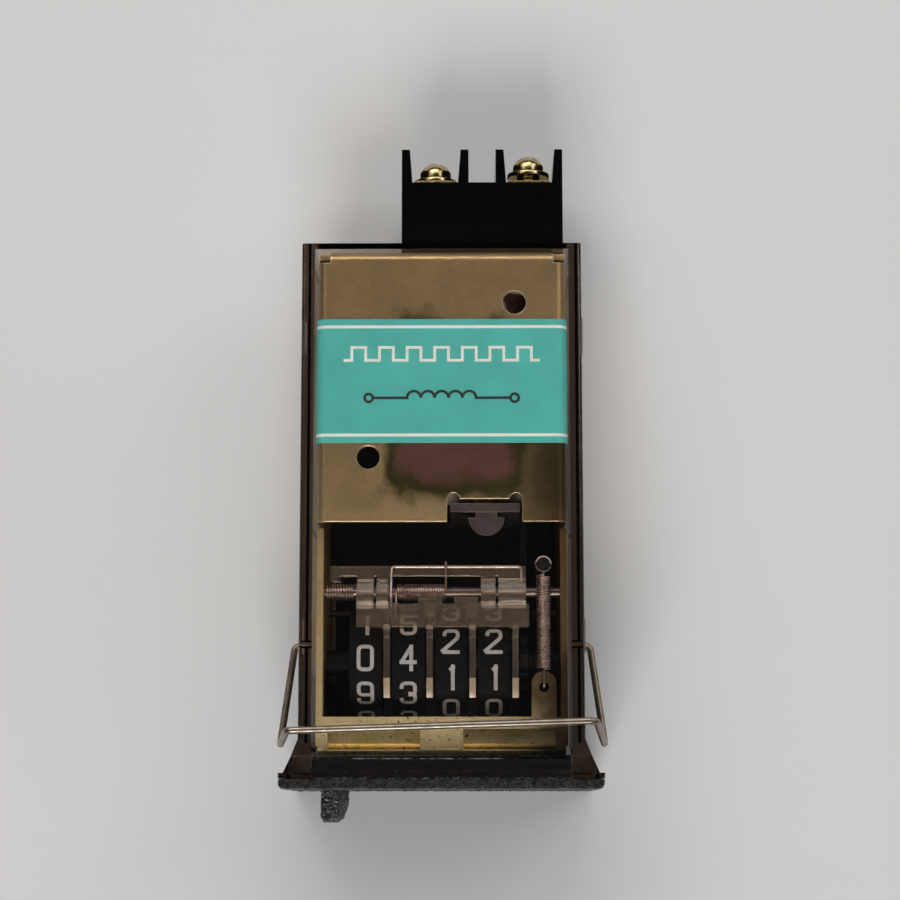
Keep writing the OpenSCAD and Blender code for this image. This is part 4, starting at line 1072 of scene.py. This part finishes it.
class COUNTER_OT_springs(bpy.types.Operator):
    """Wind the return spring, the two springs on the comb shaft and the armature spring"""

    bl_idname = "counter.springs"
    bl_label = "Springs"

    turn_steps = 24
    # Return spring: its wire, its coil, the hook in the lug, and the neck and ring at the post
    return_wire = 0.37 * MM
    return_outer = 2.2 * MM
    return_gap = 0.02 * MM
    hook_reach = 2.9 * MM
    hook_bend = 0.4 * MM
    neck = 0.5 * MM
    neck_span = (-0.1 * MM, 0.55 * MM)
    ring_radius = 1.095 * MM
    ring_turn = 345
    ring_steps = 32
    # Springs on the comb shaft. A bend of a leg is so far from the shaft, and above the coil or below the top
    shaft_wire = 0.34 * MM
    shaft_outer = 2.5 * MM
    shaft_turns = 10
    torsion_turns = 20
    leg_bend = 0.5 * MM
    front_bend = (1.3 * MM, 0.15 * MM)
    front_drop = 0.4 * MM
    rear_bend = (1.2 * MM, 0.5 * MM)
    rear_drops = ((2.2 * MM, 0.35 * MM), (3.3 * MM, 0.0))
    armature_wire = 0.36 * MM
    armature_turns = 4

    def execute(self, context):
        self.return_spring()
        self.torsion_spring()
        self.shaft_spring()
        self.armature_spring()
        return {"FINISHED"}

    def helix(self, start, heading, wire, axis, turns, radius, rise):
        """A coil of full turns about an axis."""
        pen = wire_pen(start, heading, wire)
        pen.bend(axis, 360 * turns, radius, round(self.turn_steps * turns), rise)
        return close_wire(pen)

    def return_spring(self):
        """Tension spring from the lug to the post of the slide, with a hook and a ring."""
        low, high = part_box("return_spring")
        thick = self.return_wire
        ring = self.ring_radius
        radius = (self.return_outer - thick) / 2
        x = (low.x + high.x) / 2
        z = high.z - self.return_outer / 2
        pitch = thick + self.return_gap
        hook_y = low.y + thick / 2
        coil_front = low.y + self.hook_reach
        coil_rear = high.y - 2 * ring - thick - self.neck
        turns = round((coil_rear - coil_front) / pitch)
        hook = wire_along([(x, hook_y, low.z), (x, hook_y, z), (x, coil_front, z)], thick, self.hook_bend)
        coil = self.helix((x, coil_front, z + radius), X_AXIS, thick, Y_AXIS, turns, radius, turns * pitch)
        coil_end = coil_front + turns * pitch
        neck = wire_along([(x, coil_end + span, z) for span in self.neck_span], thick)
        eye = wire_pen((x + ring, high.y - thick / 2 - ring, z), Y_AXIS, thick)
        eye.bend(Z_AXIS, self.ring_turn, ring, self.ring_steps)
        piece = add_spring("return_spring", None, joined(hook, coil, neck, close_wire(eye)))
        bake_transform(piece)

    def torsion_spring(self):
        """Close-wound spring on the comb shaft with a leg to the plate and a leg to the rear bar."""
        low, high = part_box("comb_torsion_spring")
        shaft = Vector(JOINTS["comb_swing"]["pos_m"])
        thick = self.shaft_wire
        radius = (self.shaft_outer - thick) / 2
        left, right = low.x + thick / 2, high.x - thick / 2
        above, top = shaft.z + radius, high.z - thick / 2
        coil = self.helix(
            (left, shaft.y, above), -Y_AXIS, thick, X_AXIS, self.torsion_turns, radius, right - left
        )
        front_leg = [
            (left, shaft.y, above),
            (left, shaft.y - self.front_bend[0], above + self.front_bend[1]),
            (left, low.y + thick / 2, top - self.front_drop),
        ]
        rear_leg = [
            (right, shaft.y, above),
            (right, shaft.y + self.rear_bend[0], above + self.rear_bend[1]),
            *((right, shaft.y + along, top - drop) for along, drop in self.rear_drops),
            (right, high.y, top),
        ]
        legs = [wire_along(leg, thick, self.leg_bend, 10) for leg in (front_leg, rear_leg)]
        add_spring("comb_torsion_spring", "comb", joined(coil, *legs))

    def shaft_spring(self):
        """Open spring on the left end of the comb shaft."""
        low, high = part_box("shaft_spring")
        shaft = Vector(JOINTS["comb_swing"]["pos_m"])
        thick = self.shaft_wire
        radius = (self.shaft_outer - thick) / 2
        start = (low.x + thick / 2, shaft.y + radius, shaft.z)
        rise = high.x - low.x - thick
        coil = self.helix(start, Z_AXIS, thick, X_AXIS, self.shaft_turns, radius, rise)
        add_spring("shaft_spring", "housing", coil)

    def armature_spring(self):
        """Small spring between the armature and the coil."""
        low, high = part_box("armature_spring")
        thick = self.armature_wire
        middle = (low + high) / 2
        radius = (high.x - low.x - thick) / 2
        start = (middle.x + radius, low.y + thick / 2, middle.z)
        rise = high.y - low.y - thick
        coil = self.helix(start, -Z_AXIS, thick, Y_AXIS, self.armature_turns, radius, rise)
        piece = add_spring("armature_spring", None, coil)
        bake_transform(piece)


class COUNTER_OT_terminals(bpy.types.Operator):
    """Finish the terminal block with its plates, washers and screws, and lay threads on the screws"""

    bl_idname = "counter.terminals"
    bl_label = "Terminals"

    # Rounding of the block and of its metal pieces, against that of other moulded and turned pieces
    block_rounding = 1.6
    metal_rounding = 1.5
    shank = 3.5 * MM
    thread_pitch = 0.6 * MM
    thread_wire = 0.3 * MM
    thread_sides = 8
    thread_steps = 20
    thread_sink = 0.08 * MM
    thread_start = 0.3 * MM
    thread_length = 7.2 * MM

    def execute(self, context):
        size = sizes()
        dress("terminal_block", size.moulded_edge * self.block_rounding, 3)
        for side in ("left", "right"):
            for kind in ("terminal_plate", "washer", "terminal_screw"):
                dress(f"{kind}_{side}", size.turned_edge * self.metal_rounding)
            self.thread(side)
        return {"FINISHED"}

    def thread(self, side):
        """The ridge of the thread round the shank of a screw."""
        low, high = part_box(f"terminal_screw_{side}")
        x, z = (low.x + high.x) / 2, (low.z + high.z) / 2
        radius = self.shank / 2 - self.thread_sink
        turns = round(self.thread_length / self.thread_pitch)
        start = (x + radius, low.y + self.thread_start, z)
        pen = wire_pen(start, -Z_AXIS, self.thread_wire, self.thread_sides)
        pen.bend(Y_AXIS, 360 * turns, radius, self.thread_steps * turns, self.thread_length)
        add_piece(close_wire(pen), f"screw_thread_{side}", "nickel", "housing", "nickel")


class COUNTER_OT_mounting_bail(bpy.types.Operator):
    """Finish the round wire of the mounting bail"""

    bl_idname = "counter.mounting_bail"
    bl_label = "Mounting bail"

    def execute(self, context):
        bm = merged_copy("mounting_bail")
        add_piece(bm, "mounting_bail_finished", "wire", "bail", "wire", ["mounting_bail"], 50.0)
        return {"FINISHED"}


class COUNTER_OT_stage(bpy.types.Operator):
    """Lay the floor under the resting counter, hang the soft lights and place the camera"""

    bl_idname = "counter.stage"
    bl_label = "Stage"

    camera_place = Vector((3.87, -5.96, 359.9)) * MM
    # Turn of the camera from straight down, in degrees about each axis
    camera_turn = Vector((8.88, 0.43, -0.06))
    camera_lens = 93.2
    floor_size = 3.0
    floor_gap = 0.05 * MM
    # The counter lies on the lower edge of its rim, at this place, and on the rear end of its case
    rim_rest_y = -0.8 * MM
    case_bottom = -14.0 * MM
    room_colour = (0.92, 0.95, 1.0, 1)
    room_strength = 0.03
    # Name, place, width and height, and power
    lights = (
        ("key_light", (-0.40, 0.44, 0.54), (0.5, 0.4), 1.0),
        ("rear_light", (-0.06, 0.66, 0.56), (0.7, 0.45), 3.1),
        ("front_light", (-0.06, -0.50, 0.47), (0.34, 0.22), 3.0),
        ("side_light", (0.46, 0.34, 0.46), (0.4, 0.4), 1.2),
    )

    def execute(self, context):
        self.floor()
        for light in self.lights:
            self.light(*light)
        self.surroundings()
        self.camera()
        return {"FINISHED"}

    def floor(self):
        """The floor touches the front rim and the rear of the case, on which the counter lies."""
        front = Vector((0, self.rim_rest_y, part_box("bezel")[0].z))
        rear = Vector((0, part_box("case")[1].y, self.case_bottom))
        tilt = math.atan2(rear.z - front.z, rear.y - front.y)
        bm = bmesh.new()
        bmesh.ops.create_grid(bm, x_segments=8, y_segments=8, size=self.floor_size / 2)
        bmesh.ops.rotate(bm, verts=bm.verts, cent=(0, 0, 0), matrix=Matrix.Rotation(tilt, 3, "X"))
        bmesh.ops.translate(bm, verts=bm.verts, vec=front - Z_AXIS * self.floor_gap)
        piece = add_piece(bm, "floor", "floor_paint", None, None)

    def light(self, name, place, size, power):
        """A soft light, of that width and height, that points at the middle of the counter."""
        data = bpy.data.lights.new(name, "AREA")
        data.shape = "RECTANGLE"
        data.size, data.size_y = size
        data.energy = power
        lamp = bpy.data.objects.new(name, data)
        lamp.location = place
        aim = (CAD_BOX[0] + CAD_BOX[1]) / 2 - lamp.location
        lamp.rotation_euler = aim.to_track_quat("-Z", "Y").to_euler()
        bpy.context.scene.collection.objects.link(lamp)

    def surroundings(self):
        """An even, dim room."""
        world = bpy.data.worlds.new("room")
        world.use_nodes = True
        back = world.node_tree.nodes["Background"]
        back.inputs["Color"].default_value = self.room_colour
        back.inputs["Strength"].default_value = self.room_strength
        bpy.context.scene.world = world
        bpy.context.scene.view_settings.view_transform = "Standard"

    def camera(self):
        """The camera of the photograph, which looks down on the counter."""
        data = bpy.data.cameras.new("camera")
        data.lens = self.camera_lens
        data.sensor_width = 36.0
        data.clip_start = 0.01
        camera = bpy.data.objects.new("camera", data)
        camera.location = self.camera_place
        turn = Vector(math.radians(a) for a in self.camera_turn)
        camera.rotation_mode = "QUATERNION"
        camera.rotation_quaternion = Matrix.Rotation(turn.length, 3, turn.normalized()).to_quaternion()
        bpy.context.scene.collection.objects.link(camera)
        bpy.context.scene.camera = camera


STEPS = (
    COUNTER_OT_clear_case,
    COUNTER_OT_grained_front,
    COUNTER_OT_sheet_frame,
    COUNTER_OT_label,
    COUNTER_OT_magnet,
    COUNTER_OT_number_wheels,
    COUNTER_OT_reset_comb,
    COUNTER_OT_springs,
    COUNTER_OT_terminals,
    COUNTER_OT_mounting_bail,
    COUNTER_OT_stage,
)


class COUNTER_PT_finish(bpy.types.Panel):
    """The steps of the finish, in order"""

    bl_idname = "COUNTER_PT_finish"
    bl_label = "Panel counter"
    bl_space_type = "VIEW_3D"
    bl_region_type = "UI"
    bl_category = "Counter"

    def draw(self, context):
        for step in STEPS:
            self.layout.operator(step.bl_idname)
        for group in (context.scene.counter_sizes, context.scene.counter_colours):
            for name in group.bl_rna.properties.keys():
                if name not in ("rna_type", "name"):
                    self.layout.prop(group, name)


CLASSES = (CounterSizes, CounterColours, *STEPS, COUNTER_PT_finish)


def register():
    """Adds the classes and the scene's sizes and colours."""
    for cls in CLASSES:
        bpy.utils.register_class(cls)
    bpy.types.Scene.counter_sizes = PointerProperty(type=CounterSizes)
    bpy.types.Scene.counter_colours = PointerProperty(type=CounterColours)


def unregister():
    """Takes away what register adds."""
    del bpy.types.Scene.counter_colours
    del bpy.types.Scene.counter_sizes
    for cls in reversed(CLASSES):
        bpy.utils.unregister_class(cls)


def main():
    register()
    bpy.ops.counter.clear_case()
    bpy.ops.counter.grained_front()
    bpy.ops.counter.sheet_frame()
    bpy.ops.counter.label()
    bpy.ops.counter.magnet()
    bpy.ops.counter.number_wheels()
    bpy.ops.counter.reset_comb()
    bpy.ops.counter.springs()
    bpy.ops.counter.terminals()
    bpy.ops.counter.mounting_bail()
    bpy.ops.counter.stage()


if __name__ == "__main__":
    main()
